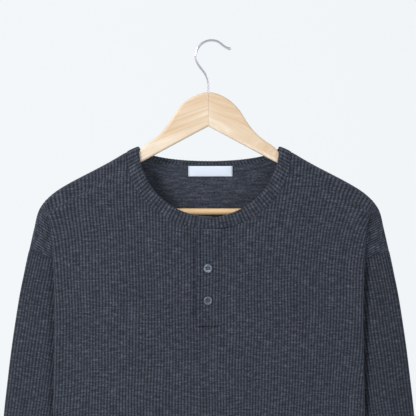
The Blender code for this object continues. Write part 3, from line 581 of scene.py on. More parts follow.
def return_surface(across, level):
    """The part of a panel that turns round its side fold and runs back inwards behind it."""
    start = body_surface(FOLD_COLUMN - FOLD_TURN, level, 0.0)
    depth, fold_z = start[..., 1], start[..., 2]
    radius = fold_radius(level)
    fold_x = read_table(FOLD_LINE, fold_z)
    turn = np.clip((across - FOLD_COLUMN) / FOLD_TURN, -1.0, 1.0) * math.pi / 2
    bend = stack(fold_x - radius * (1 - np.cos(turn)), depth - radius * (1 + np.sin(turn)), fold_z)
    fold_top = read_table(RIDGE, FOLD_COLUMN) - drop(UPPER_LENGTHS[FOLD_LEVEL])
    lowered = 1 - ease((CREASE_LEVELS[0] - fold_z) / (CREASE_LEVELS[0] - CREASE_LEVELS[1]))
    edge_z = fold_z + (SEAM_BEHIND_FOLD[1] - fold_top) * lowered
    closed = ease((SEAM_BEHIND_FOLD[1] - edge_z) / CREASE_CLOSES)
    armhole = read_table(ARMHOLE_DEPTH, edge_z) + mix(CREASE_SEPARATION, SEAM_SEPARATION, closed)
    seam = mix(armhole, SIDE_SEAM_DEPTH, ease((UNDERARM_Z - SLEEVE_INSET - edge_z) / SEAM_CLOSES))
    behind = FOLD_COLUMN + FOLD_TURN
    share = (across - behind) / (PANEL_HALF - behind)
    flat = stack(mix(fold_x - radius, read_table(INNER_EDGE, edge_z), share),
                 mix(depth - 2 * radius, seam, share), mix(fold_z, edge_z, share))
    return np.where((across <= behind)[..., None], bend, flat)


def folds_at(x, z, folds):
    """Depth of the soft folds at places on the front view."""
    depth = np.zeros(np.broadcast(x, z).shape)
    for x0, z0, x1, z1, width, sunk in folds:
        along = np.array([x1 - x0, z1 - z0], float)
        reach = np.hypot(*along)
        along /= reach
        run = (x - x0) * along[0] + (z - z0) * along[1]
        off = (x - x0) * along[1] - (z - z0) * along[0]
        fade = ease((run + width) / (3 * width)) * ease((reach + width - run) / (3 * width))
        depth += sunk * fade * np.exp(-(off / width) ** 2)
    return depth


def panel_surface(x, level, front):
    """Middle surface of the front or back panel, from the column and the level."""
    across = np.abs(x)
    top = column_top(x, front)
    body = body_surface(across, level, top)
    cap = cap_surface(across, np.minimum(level, FOLD_LEVEL))
    below = return_surface(across, np.maximum(level, FOLD_LEVEL + 1))
    above = np.where((across <= FOLD_COLUMN)[..., None], body, crease_line(across))
    fold_top = (level >= FOLD_LEVEL) & (across <= FOLD_COLUMN)
    above = np.where(fold_top[..., None],
                     body_surface(across, np.minimum(level, FOLD_LEVEL), top), above)
    turned = mix(above, below, np.clip(level - FOLD_LEVEL, 0, 1)[..., None])
    on_body = (across <= FOLD_COLUMN - FOLD_TURN) | (level <= FOLD_LEVEL) & (across <= FOLD_COLUMN)
    point = np.where(on_body[..., None], body,
                     np.where((level <= FOLD_LEVEL)[..., None], cap, turned))
    side = np.where(x < 0, -1.0, 1.0)
    return stack(side * point[..., 0], (-1 if front else 1) * point[..., 1], point[..., 2])


def grid_normals(mid, known=None, closed=False):
    """Unit vectors square to a grid of points; known marks columns whose slope across is given."""
    if closed:
        across = np.roll(mid, -1, axis=1) - np.roll(mid, 1, axis=1)
    else:
        across = np.gradient(mid, axis=1)
    if known is not None:
        columns, slopes = known
        across[:, columns] = stack(1.0, 0.0, slopes[columns])
    down = np.gradient(mid, axis=0)
    normal = np.cross(down, across)
    return normal / np.maximum(np.linalg.norm(normal, axis=2, keepdims=True), 1e-9)


def zip_edges(first, second, first_places, second_places):
    """Triangles between two edges that have unlike numbers of points."""
    faces = []
    i = j = 0
    while i < len(first) - 1 or j < len(second) - 1:
        if j == len(second) - 1 or (
                i < len(first) - 1 and first_places[i + 1] <= second_places[j + 1]):
            faces.append((first[i], first[i + 1], second[j]))
            i += 1
        else:
            faces.append((first[i], second[j + 1], second[j]))
            j += 1
    return faces


def grid_faces(ids, turned=False):
    """Four-sided faces between the points of a grid, which ids numbers."""
    corners = [ids[:-1, :-1], ids[1:, :-1], ids[1:, 1:], ids[:-1, 1:]]
    order = (0, 3, 2, 1) if turned else (0, 1, 2, 3)
    return np.stack([corners[i] for i in order], axis=-1).reshape(-1, 4).tolist()


def turn_outwards(mesh, merge=0.0):
    """Turns all faces outwards; points nearer to each other than merge become one."""
    solid = bmesh.new()
    solid.from_mesh(mesh)
    if merge:
        bmesh.ops.remove_doubles(solid, verts=solid.verts, dist=merge)
    bmesh.ops.recalc_face_normals(solid, faces=solid.faces)
    solid.to_mesh(mesh)
    solid.free()


def solid_mesh(name, points, faces, sharp=None):
    """A smooth closed mesh of points in mm, with sharp edges from an angle in degrees on."""
    mesh = bpy.data.meshes.new(name)
    mesh.from_pydata((np.reshape(points, (-1, 3)) * MM).tolist(), [], faces)
    turn_outwards(mesh)
    mesh.shade_smooth()
    if sharp:
        mesh.set_sharp_from_angle(angle=math.radians(sharp))
    return mesh


def cloth_attributes(mesh, inside, across, relief, outward):
    """What the rib tree reads: inside for each face, the others for each point."""
    mesh.attributes.new("inside", "BOOLEAN", "FACE").data.foreach_set("value", inside)
    point_attribute(mesh, "across", across * MM)
    point_attribute(mesh, "relief", relief.ravel())
    point_attribute(mesh, "outward", outward.reshape(-1, 3))


def cloth_mesh(name, sides, keep, across, ribs, down, outward, relief, period=0.0):
    """A closed wall of cloth between its outer face and the columns kept of its inner face.

    ribs and down are places on the knit, and a period closes a tube.
    """
    outer, inner = sides[0], sides[1][:, keep]
    rows, width = outer.shape[:2]
    faces, rims, starts = [], [], []
    for start, count in ((0, width), (rows * width, len(keep))):
        ids = start + np.arange(rows * count).reshape(rows, count)
        if period:
            ids = np.hstack([ids, ids[:, :1]])
        rims.append(ids)
        faces += grid_faces(ids)
        starts.append(len(faces))
    places = [list(across), [across[i] for i in keep]]
    if period:
        places = [p + [period] for p in places]
    for row in (0, rows - 1):
        faces += zip_edges(rims[0][row].tolist(), rims[1][row].tolist(), *places)
    if not period:
        for column in (0, -1):
            faces += grid_faces(np.stack([ids[:, column] for ids in rims], axis=1))
    points = np.concatenate([outer.reshape(-1, 3), inner.reshape(-1, 3)])
    mesh = solid_mesh(name, points + (CENTRE, 0.0, 0.0), faces)
    inside = np.zeros(len(faces), bool)
    inside[starts[0]:starts[1]] = True
    u, v = (np.concatenate([grid.ravel(), grid[:, keep].ravel()]) for grid in (ribs, down))
    cloth_attributes(mesh, inside, u, np.append(relief.ravel(), np.zeros(rows * len(keep))),
                     np.concatenate([outward.reshape(-1, 3), outward[:, keep].reshape(-1, 3)]))
    knit_map(mesh, u * MM, v * MM, period * MM)
    return mesh


def rib_places(across, x, z):
    """Where the ribs run, in mm across the knit: they waver a little, as knitted ribs do."""
    waver = 0.42 * np.sin(z / 37 + x / 23) + 0.3 * np.sin(z / 15 - x / 47 + 1.0)
    return across + waver + 0.22 * np.sin(x / 9 + z / 71)


def point_attribute(mesh, name, values):
    kind = "FLOAT" if values.ndim == 1 else "FLOAT_VECTOR"
    made = mesh.attributes.new(name, kind, "POINT")
    made.data.foreach_set("value" if kind == "FLOAT" else "vector",
                          values.astype(np.float32).ravel())


def knit_map(mesh, u, v, period=0.0):
    """UV map of the knit in metres, with the place across made whole where a tube closes."""
    corners = np.zeros(len(mesh.loops), np.int32)
    mesh.loops.foreach_get("vertex_index", corners)
    starts = np.zeros(len(mesh.polygons), np.int32)
    mesh.polygons.foreach_get("loop_start", starts)
    u = u[corners]
    if period:
        face = np.repeat(np.arange(len(starts)), np.diff(np.append(starts, len(corners))))
        highest = np.maximum.reduceat(u, starts)[face]
        u = np.where(highest - u > period / 2, u + period, u)
    layer = mesh.uv_layers.new(name="knit")
    layer.data.foreach_set("uv", np.stack([u, v[corners]], axis=-1).astype(np.float32).ravel())


def drop_attributes(piece):
    for name in CLOTH_ATTRIBUTES:
        found = piece.data.attributes.get(name)
        if found is not None:
            piece.data.attributes.remove(found)
    return piece


# ---------------------------------------------------------------- geometry trees

def rib_tree():
    """Raises a cloth's ribs along its outward directions and gives both sides their finish."""
    tree = bpy.data.node_groups.new("raised_ribs", "GeometryNodeTree")
    given = tree_inputs(tree, {
        "Rib Pitch": 0.0042, "Rib Height": 0.0007, "Groove Sharpness": 0.75, "Unevenness": 0.0001,
        "Seed": 3.0, "Face": None, "Reverse": None})
    add = partial(add_node, tree)
    calc = partial(add, "ShaderNodeMath")
    across, relief, outward, inside = (
        add("GeometryNodeInputNamedAttribute", name, data_type=kind)
        for name, kind in CLOTH_ATTRIBUTES.items())
    turns = calc(across, given["Rib Pitch"], operation="DIVIDE")
    wave = calc(calc(turns, 2 * math.pi, operation="MULTIPLY"), operation="COSINE")
    crest = calc(wave, -0.5, 0.5, operation="MULTIPLY_ADD")
    crest = calc(crest, given["Groove Sharpness"], operation="POWER")
    waver = add("ShaderNodeTexNoise", {
        "Vector": add("GeometryNodeInputPosition"), "W": given["Seed"], "Scale": 260.0,
        "Detail": 2.0}, noise_dimensions="4D")
    waver = calc(waver, 0.5, operation="SUBTRACT")
    waver = calc(waver, given["Unevenness"], operation="MULTIPLY")
    height = calc(calc(crest, given["Rib Height"], operation="MULTIPLY"), waver, operation="ADD")
    height = calc(height, relief, operation="MULTIPLY")
    offset = add("ShaderNodeVectorMath", {0: outward, "Scale": height}, operation="SCALE")
    shape = add("GeometryNodeSetPosition", {"Geometry": given["Geometry"], "Offset": offset})
    shape = add("GeometryNodeRealizeInstances", {"Geometry": shape})
    shape = add("GeometryNodeSetMaterial", {"Geometry": shape, "Material": given["Face"]})
    shape = add("GeometryNodeSetMaterial", {
        "Geometry": shape, "Selection": inside, "Material": given["Reverse"]})
    add("NodeGroupOutput", {"Geometry": shape})
    return tree


def stitch_tree():
    """Lays a row of raised thread stitches along a line that lies on cloth."""
    tree = bpy.data.node_groups.new("stitch_row", "GeometryNodeTree")
    given = tree_inputs(tree, {"Stitch Pitch": 0.0029, "Thread": 0.00045, "Thread Material": None})
    add = partial(add_node, tree)
    calc = partial(add, "ShaderNodeMath", operation="MULTIPLY")
    line = add("GeometryNodeMeshToCurve", {"Mesh": given["Geometry"]})
    even = add("GeometryNodeResampleCurve", {
        "Curve": line, "Length": given["Stitch Pitch"]}, mode="LENGTH")
    half = calc(given["Stitch Pitch"], 0.4)
    start, end = (add("ShaderNodeCombineXYZ", {
        "X": calc(half, sign), "Z": calc(given["Thread"], -0.35)}) for sign in (-1.0, 1.0))
    middle = add("ShaderNodeCombineXYZ", {"Z": calc(given["Thread"], 0.9)})
    arch = add("GeometryNodeCurveQuadraticBezier", {
        "Resolution": 4, "Start": start, "Middle": middle, "End": end})
    ring = add("GeometryNodeCurvePrimitiveCircle", {
        "Resolution": 5, "Radius": calc(given["Thread"], 0.5)})
    stitch = add("GeometryNodeCurveToMesh", {
        "Curve": arch, "Profile Curve": ring, "Fill Caps": True})
    outward = add("GeometryNodeInputNamedAttribute", "outward", data_type="FLOAT_VECTOR")
    along = add("FunctionNodeAlignRotationToVector", {
        "Vector": add("GeometryNodeInputTangent")}, axis="X")
    upright = add("FunctionNodeAlignRotationToVector", {
        "Rotation": along, "Vector": outward}, axis="Z", pivot_axis="X")
    shape = add("GeometryNodeInstanceOnPoints", {
        "Points": even, "Instance": stitch, "Rotation": upright})
    shape = add("GeometryNodeRealizeInstances", {"Geometry": shape})
    shape = add("GeometryNodeSetShadeSmooth", {"Geometry": shape})
    shape = add("GeometryNodeSetMaterial", {
        "Geometry": shape, "Material": given["Thread Material"]})
    add("NodeGroupOutput", {"Geometry": shape})
    return tree


def stitch_rows(name, lines, slot, thread_name, hex_colour, pitch=None, thread=None):
    """One piece of stitches along lines, each a pair of points and outward directions in mm."""
    props = bpy.context.scene.henley_knit
    ends = np.cumsum([len(points) for points, _ in lines])
    edges = [(i, i + 1) for i in range(ends[-1]) if i + 1 not in ends]
    mesh = bpy.data.meshes.new(name)
    mesh.from_pydata((np.concatenate([points for points, _ in lines]) * MM).tolist(), edges, [])
    point_attribute(mesh, "outward", np.concatenate([outward for _, outward in lines]))
    piece = new_piece(name, mesh)
    apply_tree(piece, stitch_tree(), {
        "Stitch Pitch": pitch or props.stitch_pitch, "Thread": thread or props.thread,
        "Thread Material": material(thread_name, sewing_thread, hex_colour)})
    return settle(drop_attributes(piece), slot)


# ---------------------------------------------------------------- finishes

def material(name, build, *details):
    """The material of this name; build adds its nodes and says what the shader's sockets get."""
    made = bpy.data.materials.get(name)
    if made is None:
        made = bpy.data.materials.new(name)
        made.use_nodes = True
        tree = made.node_tree
        feed(tree, tree.nodes["Principled BSDF"], build(tree, *details))
    return made


def grain(tree, place, spans, detail=2.0, roughness=0.5):
    """An uneven pattern whose grains span these metres along the three axes of place."""
    scaled = add_node(tree, "ShaderNodeVectorMath", place, tuple(1 / span for span in spans),
                      operation="MULTIPLY")
    return add_node(tree, "ShaderNodeTexNoise", {
        "Vector": scaled, "Scale": 1.0, "Detail": detail, "Roughness": roughness})


def tone_of(tree, base, *parts):
    """A tone: the base, and how far each part is from its middle, times its weight."""
    tone = base - sum(weight for _, weight in parts) / 2
    for part, weight in parts:
        tone = add_node(tree, "ShaderNodeMath", part, weight, tone, operation="MULTIPLY_ADD")
    return tone


def rib_knit(tree, shade):
    """Marled cotton rib, knitted in charcoal yarn: matt, with pale fibres, and with shade painted
    into the grooves between the ribs.
    """
    props = bpy.context.scene.henley_knit
    add = partial(add_node, tree)
    calc = partial(add, "ShaderNodeMath")
    place = add("ShaderNodeUVMap", uv_map="knit")
    split = add("ShaderNodeSeparateXYZ", place).node.outputs
    turns = calc(split["X"], props.rib_pitch, operation="DIVIDE")
    wave = calc(calc(turns, 2 * math.pi, operation="MULTIPLY"), operation="COSINE")
    groove_shade = calc(calc(wave, 0.5, 0.5, operation="MULTIPLY_ADD"), 1.4, operation="POWER")
    streak = grain(tree, place, (0.0125, 0.0024, 1.0), 2.0, 0.55)     # marl along the courses
    fibre = grain(tree, place, (0.0032, 0.0013, 1.0), 2.0, 0.6)       # single loops and fibres
    cloud = grain(tree, place, (0.07, 0.05, 1.0))                     # uneven dye
    tone = tone_of(tree, shade, (streak, 1.03), (fibre, 1.1), (cloud, 0.12))
    # painted shade: the colour is darkened in the grooves between the ribs
    tone = calc(groove_shade, -0.39, tone, operation="MULTIPLY_ADD")
    # each rib is a column of V-shaped loops, 2.1 mm high, coarser than real ones so that they show
    half_turns = calc(calc(turns, math.pi, operation="MULTIPLY"), operation="COSINE")
    rows = calc(calc(half_turns, operation="ABSOLUTE"), 0.8,
                calc(split["Y"], 0.0021, operation="DIVIDE"), operation="MULTIPLY_ADD")
    loops = calc(calc(rows, 2 * math.pi, operation="MULTIPLY"), operation="SINE")
    height = calc(loops, 0.35, calc(fibre, 1.3, operation="MULTIPLY"), operation="MULTIPLY_ADD")
    return {
        "Base Color": add("ShaderNodeValToRGB", tone, stops=(
            (0.1, props.dark), (0.46, props.middle), (0.94, props.light))),
        "Normal": add("ShaderNodeBump", {"Height": height, "Strength": 0.7, "Distance": 0.00035}),
        "Roughness": 0.93, "Specular IOR Level": 0.18, "Sheen Weight": 0.22,
        "Sheen Roughness": 0.45, "Sheen Tint": linear("#aab2c2")}


def knit_reverse(tree):
    """Reverse of the rib knit: flatter, with fine streaks along the courses."""
    props = bpy.context.scene.henley_knit
    place = add_node(tree, "ShaderNodeUVMap", uv_map="knit")
    streak = grain(tree, place, (0.016, 0.003, 1.0), 2.0, 0.6)
    fibre = grain(tree, place, (0.0026, 0.0018, 1.0), 2.0, 0.6)
    tone = tone_of(tree, 0.4, (streak, 0.9), (fibre, 1.1))
    return {
        "Base Color": add_node(tree, "ShaderNodeValToRGB", tone, stops=(
            (0.1, props.dark), (0.46, props.middle), (0.95, props.light))),
        "Normal": add_node(tree, "ShaderNodeBump", {
            "Height": fibre, "Strength": 0.6, "Distance": 0.0003}),
        "Roughness": 0.95, "Specular IOR Level": 0.15, "Sheen Weight": 0.18,
        "Sheen Roughness": 0.5, "Sheen Tint": linear("#aab2c2")}


def sewing_thread(tree, hex_colour):
    """Spun polyester thread: slightly lustrous, with a fine twist."""
    place = add_node(tree, "ShaderNodeTexCoord", output="Object")
    twist = grain(tree, place, (0.0009, 0.0009, 0.0009), 1.0)
    share = add_node(tree, "ShaderNodeMath", twist, 0.5, operation="MULTIPLY")
    dark = linear(hex_colour)
    return {
        "Base Color": add_node(tree, "ShaderNodeMixRGB", share, dark,
                               [min(1.0, 1.8 * part) for part in dark]),
        "Normal": add_node(tree, "ShaderNodeBump", {
            "Height": twist, "Strength": 0.5, "Distance": 0.0001}),
        "Roughness": 0.6, "Specular IOR Level": 0.35, "Sheen Weight": 0.2}


def lacquered_wood(tree, light, dark):
    """Pale lotus wood, planed and clear lacquered: soft grain along each piece, low gloss."""
    add = partial(add_node, tree)
    calc = partial(add, "ShaderNodeMath")
    place = add("ShaderNodeAttribute", attribute_name="grain", output="Vector")
    heart = add("ShaderNodeAttribute", attribute_name="heart", output="Fac")
    rings = grain(tree, place, (0.16, 0.0034, 0.0034), 2.0, 0.55)     # summer and spring wood
    fine = grain(tree, place, (0.05, 0.0011, 0.0011), 3.0, 0.6)       # growth lines
    broad = grain(tree, place, (0.09, 0.016, 0.016))
    pores = grain(tree, place, (0.007, 0.0005, 0.0005), 1.0)          # short open pores
    pores = calc(pores, 0.66, operation="GREATER_THAN")
    tone = tone_of(tree, 0.56, (rings, 0.95), (fine, 0.62), (broad, 0.7), (heart, 0.34),
                   (pores, 0.16))
    height = calc(pores, -0.6, calc(fine, 0.4, operation="MULTIPLY"), operation="MULTIPLY_ADD")
    return {
        "Base Color": add("ShaderNodeValToRGB", tone, stops=((0.12, light), (0.85, dark))),
        "Normal": add("ShaderNodeBump", {"Height": height, "Strength": 0.35, "Distance": 0.0002}),
        "Roughness": calc(fine, 0.16, 0.34, operation="MULTIPLY_ADD"),
        "Specular IOR Level": 0.4, "Coat Weight": 0.25, "Coat Roughness": 0.3}


def plated_wire(tree, steel):
    """Nickel-plated steel wire: smooth and bright, with faint lines where it was drawn."""
    place = add_node(tree, "ShaderNodeTexCoord", output="Object")
    drawn = grain(tree, place, (0.002, 0.0004, 0.006))
    return {
        "Base Color": add_node(tree, "ShaderNodeMixRGB", drawn, linear("#c3c1ca"), linear(steel)),
        "Roughness": add_node(tree, "ShaderNodeMath", drawn, 0.14, 0.16, operation="MULTIPLY_ADD"),
        "Metallic": 1.0}


def button_resin(tree, pale_from_with_shade):
    """Cast polyester resin with a faint swirl, tumbled to a soft shine."""
    props = bpy.context.scene.henley_trim
    place = add_node(tree, "ShaderNodeTexCoord", output="Object")
    swirl = grain(tree, place, (0.004, 0.01, 0.0016), 3.0)
    return {
        "Base Color": add_node(tree, "ShaderNodeValToRGB", swirl, stops=(
            (pale_from_with_shade, props.button), (pale_from_with_shade + 0.35, props.button_light))),
        "Roughness": add_node(tree, "ShaderNodeMath", swirl, 0.2, 0.28, operation="MULTIPLY_ADD"),
        "Specular IOR Level": 0.5, "Coat Weight": 0.15, "Coat Roughness": 0.2}


def label_satin(tree, white):
    """Woven satin ribbon in bare white: fine weft lines and a soft silky sheen."""
    add = partial(add_node, tree)
    calc = partial(add, "ShaderNodeMath")
    place = add("ShaderNodeTexCoord", output="Object")
    split = add("ShaderNodeSeparateXYZ", place).node.outputs
    # weft 0.5 mm and warp 0.7 mm apart, coarser than real satin so that they show
    weft, warp = (calc(calc(split[axis], 2 * math.pi / apart, operation="MULTIPLY"),
                       operation="SINE") for axis, apart in (("Z", 0.0005), ("X", 0.0007)))
    weave = calc(weft, 0.5, calc(warp, 0.3, operation="MULTIPLY"), operation="MULTIPLY_ADD")
    slub = calc(grain(tree, place, (0.009, 1.0, 0.0006)), 0.35, operation="MULTIPLY")
    return {
        "Base Color": add("ShaderNodeMixRGB", slub, linear(white), linear("#cdd7e4")),
        "Normal": add("ShaderNodeBump", {"Height": weave, "Strength": 0.3, "Distance": 0.0001}),
        "Roughness": 0.5, "Specular IOR Level": 0.4, "Sheen Weight": 0.3}


def painted_floor(tree, pale):
    """Matt painted floor: pale, with soft wide speckles."""
    place = add_node(tree, "ShaderNodeTexCoord", output="Object")
    speckle = grain(tree, place, (0.05, 0.05, 0.05), 3.0)
    return {
        "Base Color": add_node(tree, "ShaderNodeValToRGB", speckle, stops=(
            (0.3, "#e4e6e8"), (0.7, pale))),
        "Roughness": 0.8}


# ---------------------------------------------------------------- cloth pieces

def add_cloth(name, mesh, pitch, height, seed, face=("marled_cotton_rib_knit", 0.475)):
    """A piece of cloth with raised ribs; face names the finish of its outer side and its tone,
    which is lower on the sleeves as painted shade.
    """
    piece = new_piece(name, mesh)
    apply_tree(piece, rib_tree(), {
        "Rib Pitch": pitch, "Rib Height": height, "Seed": seed,
        "Unevenness": bpy.context.scene.henley_knit.unevenness,
        "Face": material(face[0], rib_knit, face[1]),
        "Reverse": material("marled_cotton_knit_reverse", knit_reverse)})
    return drop_attributes(piece)


def column_step():
    """Distance between the columns of a grid, in mm."""
    return bpy.context.scene.henley_knit.rib_pitch / MM / COLUMNS_A_RIB


def distance_to(places, marks):
    """Distance from each place to the nearest mark."""
    return np.abs(places[:, None] - np.asarray(marks)[None, :]).min(axis=1)


def panel_columns(front):
    """Columns across a panel: evenly along the ribs, with more at the neck and the folds."""
    step = column_step()
    half = np.arange(0, int(PANEL_HALF / step) + 1) * step
    extra = np.concatenate([NECK_HALF * np.sin(np.radians(np.arange(64.0, 91.0, 4.0))),
                            [PANEL_HALF, FOLD_COLUMN]])
    half = np.sort(np.concatenate([half[distance_to(half, extra) > 0.35], extra]))
    columns = np.concatenate([-half[:0:-1], half])
    if front:
        columns = columns[distance_to(columns, NOTCH_EDGES) > 0.35]
        columns = np.sort(np.concatenate([columns, NOTCH_EDGES - 0.1, NOTCH_EDGES + 0.1]))
    return columns


def kept_columns(columns):
    """Columns that the smooth reverse of a panel keeps."""
    pitch = column_step() * COLUMNS_A_RIB
    across = np.abs(columns)
    regular = np.abs(across / pitch - np.round(across / pitch)) < 0.01
    turn = np.abs(across - FOLD_COLUMN) < FOLD_TURN
    neck = (across > NECK_HALF - 10) & (across <= NECK_HALF)
    notch = distance_to(columns, NOTCH_EDGES) < 0.2
    return np.flatnonzero(regular | turn | neck | notch | (across > PANEL_HALF - GAP)).tolist()


def panel_levels():
    """Levels down a panel: close over the shoulder and at the hem."""
    near = np.concatenate([CUT_ROWS, np.linspace(2.5, 26.5, 24),
                           [28.0, 30.2, 33, 36.3, 39.6, 43]])
    upper = np.interp(near, UPPER_LENGTHS, LEVEL_NUMBERS)
    hem = 1 - HEM_ROWS / PANEL_LENGTH
    shares = np.concatenate([np.linspace(0, hem[0], 62)[1:], hem[1:]])
    return np.concatenate([upper, np.interp(shares, LOWER_SHARES, LOWER_LEVELS)])


def shoulder_seam_height(x):
    """Height of the armhole seam's upper stretch."""
    slope = (SHOULDER_END[1] - SEAM_BEHIND_FOLD[1]) / (SHOULDER_END[0] - SEAM_BEHIND_FOLD[0])
    return SHOULDER_END[1] + slope * (x - SHOULDER_END[0])


def stitch_dent(distance, lines):
    """How far rows of stitches draw the cloth in, from 0 to 1."""
    return sum(np.exp(-((distance - line) / 1.3) ** 2) for line in lines)


def edge_relief(distance, dent):
    """Share of the ribs' height: none at a cut edge, and less where stitches hold them down."""
    return ease(distance / 2.4 + 0.25), 1 - 0.45 * np.clip(dent, 0, 1)


def walls(mid, outward, half, fold=1.0):
    """The outer and inner face of a cloth; fold is how much thicker it is inside a turned edge."""
    return mid + outward * half[..., None], mid - outward * (half * fold)[..., None]


def panel_grid(front):
    """Middle surface, outward directions and the distances that shape the edges of a panel."""
    columns, levels = panel_columns(front), panel_levels()
    x = np.broadcast_to(columns, (len(levels), len(columns)))
    level = np.broadcast_to(levels[:, None], x.shape)
    mid = panel_surface(x, level, front)
    slopes = shoulder_line(columns + 0.5) - shoulder_line(columns - 0.5)
    known = (np.flatnonzero(np.abs(columns) < LEAN_FROM), slopes)
    normal = grid_normals(mid, known) * (1 if front else -1)
    top = column_top(x, front)
    across = np.abs(x)
    length = level_length(level, across, top)
    from_top = length - top
    from_hem = level_length(np.full_like(level, LOWER_LEVELS[-1]), across, top) - length
    calm = ease((206 - across) / 16) * ease((length - 16) / 50)
    sunk = folds_at(mid[..., 0], mid[..., 2], FRONT_FOLDS if front else BACK_FOLDS) * calm
    seam = 1.3 * np.exp(-((PANEL_HALF - across) / 3.0) ** 2) * ease((from_top - 1) / 9)
    sunk = sunk + np.where(from_top < UPPER_LENGTHS[FOLD_LEVEL], seam, 0.0)
    dent = stitch_dent(from_hem, HEM_LINES)
    mid = mid - normal * (sunk + STITCH_DEPTH * dent)[..., None]
    return columns, mid, normal, length, from_top, from_hem, dent


def make_panel(name, front):
    """A panel, and what the rows of stitches along its hem need."""
    columns, mid, normal, length, from_top, from_hem, dent = panel_grid(front)
    props = bpy.context.scene.henley_knit
    nearest = np.minimum(from_top, from_hem)
    creased = (np.abs(columns) > FOLD_COLUMN + 2)[None, :] & (from_top > 25) & (from_top < 29.5)
    full, pressed = edge_relief(nearest, dent)
    relief = np.where(creased, 0.0, full)
    on_ridge = (np.abs(columns) > NECK_HALF)[None, :]         # the hanger pulls the ribs flat here
    relief = relief * np.where(on_ridge, 0.35 + 0.65 * ease(from_top / 11), 1.0) * pressed
    faces = walls(mid, normal, WALL / 2 * rounded(nearest),
                  1 + TURNED_EDGE * ease((HEM_TURN - from_hem) / 3))
    for grid in faces:
        depth = grid[..., 1]
        grid[..., 1] = np.minimum(depth, -0.05) if front else np.maximum(depth, 0.05)
        for end in (0, -1):
            rim = from_top[:, end] <= UPPER_LENGTHS[FOLD_LEVEL] + 0.01
            seam = shoulder_seam_height(np.abs(grid[:, end, 0]))
            grid[rim, end, 2] = np.maximum(grid[rim, end, 2], seam[rim])
    across = np.abs(columns)[None, :]
    down_cap = from_top / UPPER_LENGTHS[FOLD_LEVEL]
    turned = across - CAP_TURN * ease(cap_share(across)) * np.clip(down_cap, 0, 1)
    turned = np.where(from_top <= UPPER_LENGTHS[FOLD_LEVEL] + 0.5, turned, across)
    x, z = mid[..., 0], mid[..., 2]
    spread = np.where(columns > 0, read_table(RIB_SPREAD[1], z), read_table(RIB_SPREAD[-1], z))
    ribs = rib_places(turned * np.sign(columns) * (1 + spread), x, z)
    mesh = cloth_mesh(name, faces, kept_columns(columns), columns, ribs,
                      length - read_table(RIDGE, across), normal, relief)
    piece = add_cloth(name, mesh, props.rib_pitch, props.rib_height, 3.0 if front else 8.0)
    near = np.abs(columns) < PANEL_HALF - 2
    return piece, (mid[:, near], normal[:, near], from_hem[:, near])


def line_on_grid(mid, normal, places, at):
    """Points and outward directions, just over the cloth, where its columns reach a place."""
    both = np.concatenate([mid + (CENTRE, 0.0, 0.0), normal], axis=2)
    line = np.zeros((mid.shape[1], 6))
    for column in range(len(line)):
        order = np.argsort(places[:, column])
        for axis in range(6):
            line[column, axis] = np.interp(at, places[order, column], both[order, column, axis])
    return line[:, :3] + line[:, 3:] * (WALL / 2 + 0.3), line[:, 3:]


def sleeve_line(ring_x, z):
    """A knit column of the sleeve, parallel to its outer edge above the underarm."""
    ring_in, ring_out = SLEEVE_RING
    share = (ring_x - ring_in) / (ring_out - ring_in)
    lean = SLEEVE_LEAN * (z - SLEEVE_RING_Z)
    bulge = read_table(OUTLINE, z) - (ring_out - lean)
    return ring_x - lean + bulge * np.clip(share, 0.0, None) ** 2


SLEEVE_RING = (SLEEVE_INNER[0][1], float(read_table(OUTLINE, SLEEVE_RING_Z)))


def sleeve_start(ring_x):
    """Heights at which sleeve columns meet the armhole seam."""
    low = np.full_like(ring_x, SLEEVE_RING_Z)
    high = np.full_like(ring_x, SHOULDER_END[1])
    for _ in range(40):
        z = (low + high) / 2
        x = sleeve_line(ring_x, z)
        outside = (z >= SEAM_BEHIND_FOLD[1]) | (x > read_table(INNER_EDGE, z))
        joined = (z < shoulder_seam_height(x)) & outside
        low, high = np.where(joined, z, low), np.where(joined, high, z)
    return low


def sleeve_surface(share, rows):
    """One face of the sleeve. rows run from 0 at the armhole, through 1 at the ring, to 2."""
    def strip(at):
        """Places at a share of the way from the sleeve's inner edge to its outer edge."""
        ring_x = mix(*SLEEVE_RING, at)
        start = np.where(at == 0, UNDERARM_Z, sleeve_start(ring_x))
        upper_z = mix(start, SLEEVE_RING_Z, np.minimum(rows, 1))
        x = sleeve_line(ring_x, upper_z)
        underarm = read_table(INNER_EDGE, UNDERARM_Z) + SLEEVE_INSET
        x = np.where(at == 0, mix(underarm, SLEEVE_RING[0], np.minimum(rows, 1)), x)
        lower_z = mix(SLEEVE_RING_Z, CUFF_Z, np.maximum(rows - 1, 0))
        lower_x = mix(read_table(SLEEVE_INNER, lower_z), read_table(OUTLINE, lower_z), at)
        x = np.where(rows <= 1, x, lower_x)
        z = np.where(rows <= 1, upper_z, lower_z)
        return stack(x, np.where((at == 0) | (at == 1), 0.0, sleeve_half_depth(x, z)), z)
    edge = strip(np.zeros_like(share))
    inside = strip(np.full_like(share, SLEEVE_EDGE_SHARE))
    t = np.clip(share / SLEEVE_EDGE_SHARE, 0, 1)
    closing = edge + (inside - edge) * stack(t, t ** 0.75, t)
    return np.where((share < SLEEVE_EDGE_SHARE)[..., None], closing, strip(share))


def run_lengths(points):
    """Length along a line of points, up to each of them."""
    return np.concatenate([[0.0], np.cumsum(np.linalg.norm(np.diff(points, axis=0), axis=1))])


def sleeve_loop():
    """Shares and faces of the sleeve's columns, evenly spaced round it, and its ribs a side."""
    dense = np.linspace(0, 1, 800)
    lengths = run_lengths(sleeve_surface(dense[None, :], np.full((1, 800), 1.2))[0])
    ribs = int(round(lengths[-1] / (column_step() * COLUMNS_A_RIB)))
    count = ribs * COLUMNS_A_RIB
    shares = np.interp(np.linspace(0, lengths[-1], count + 1), lengths, dense)
    face = np.concatenate([-np.ones(count + 1), np.ones(count - 1)])
    return np.concatenate([shares, shares[-2:0:-1]]), face, ribs


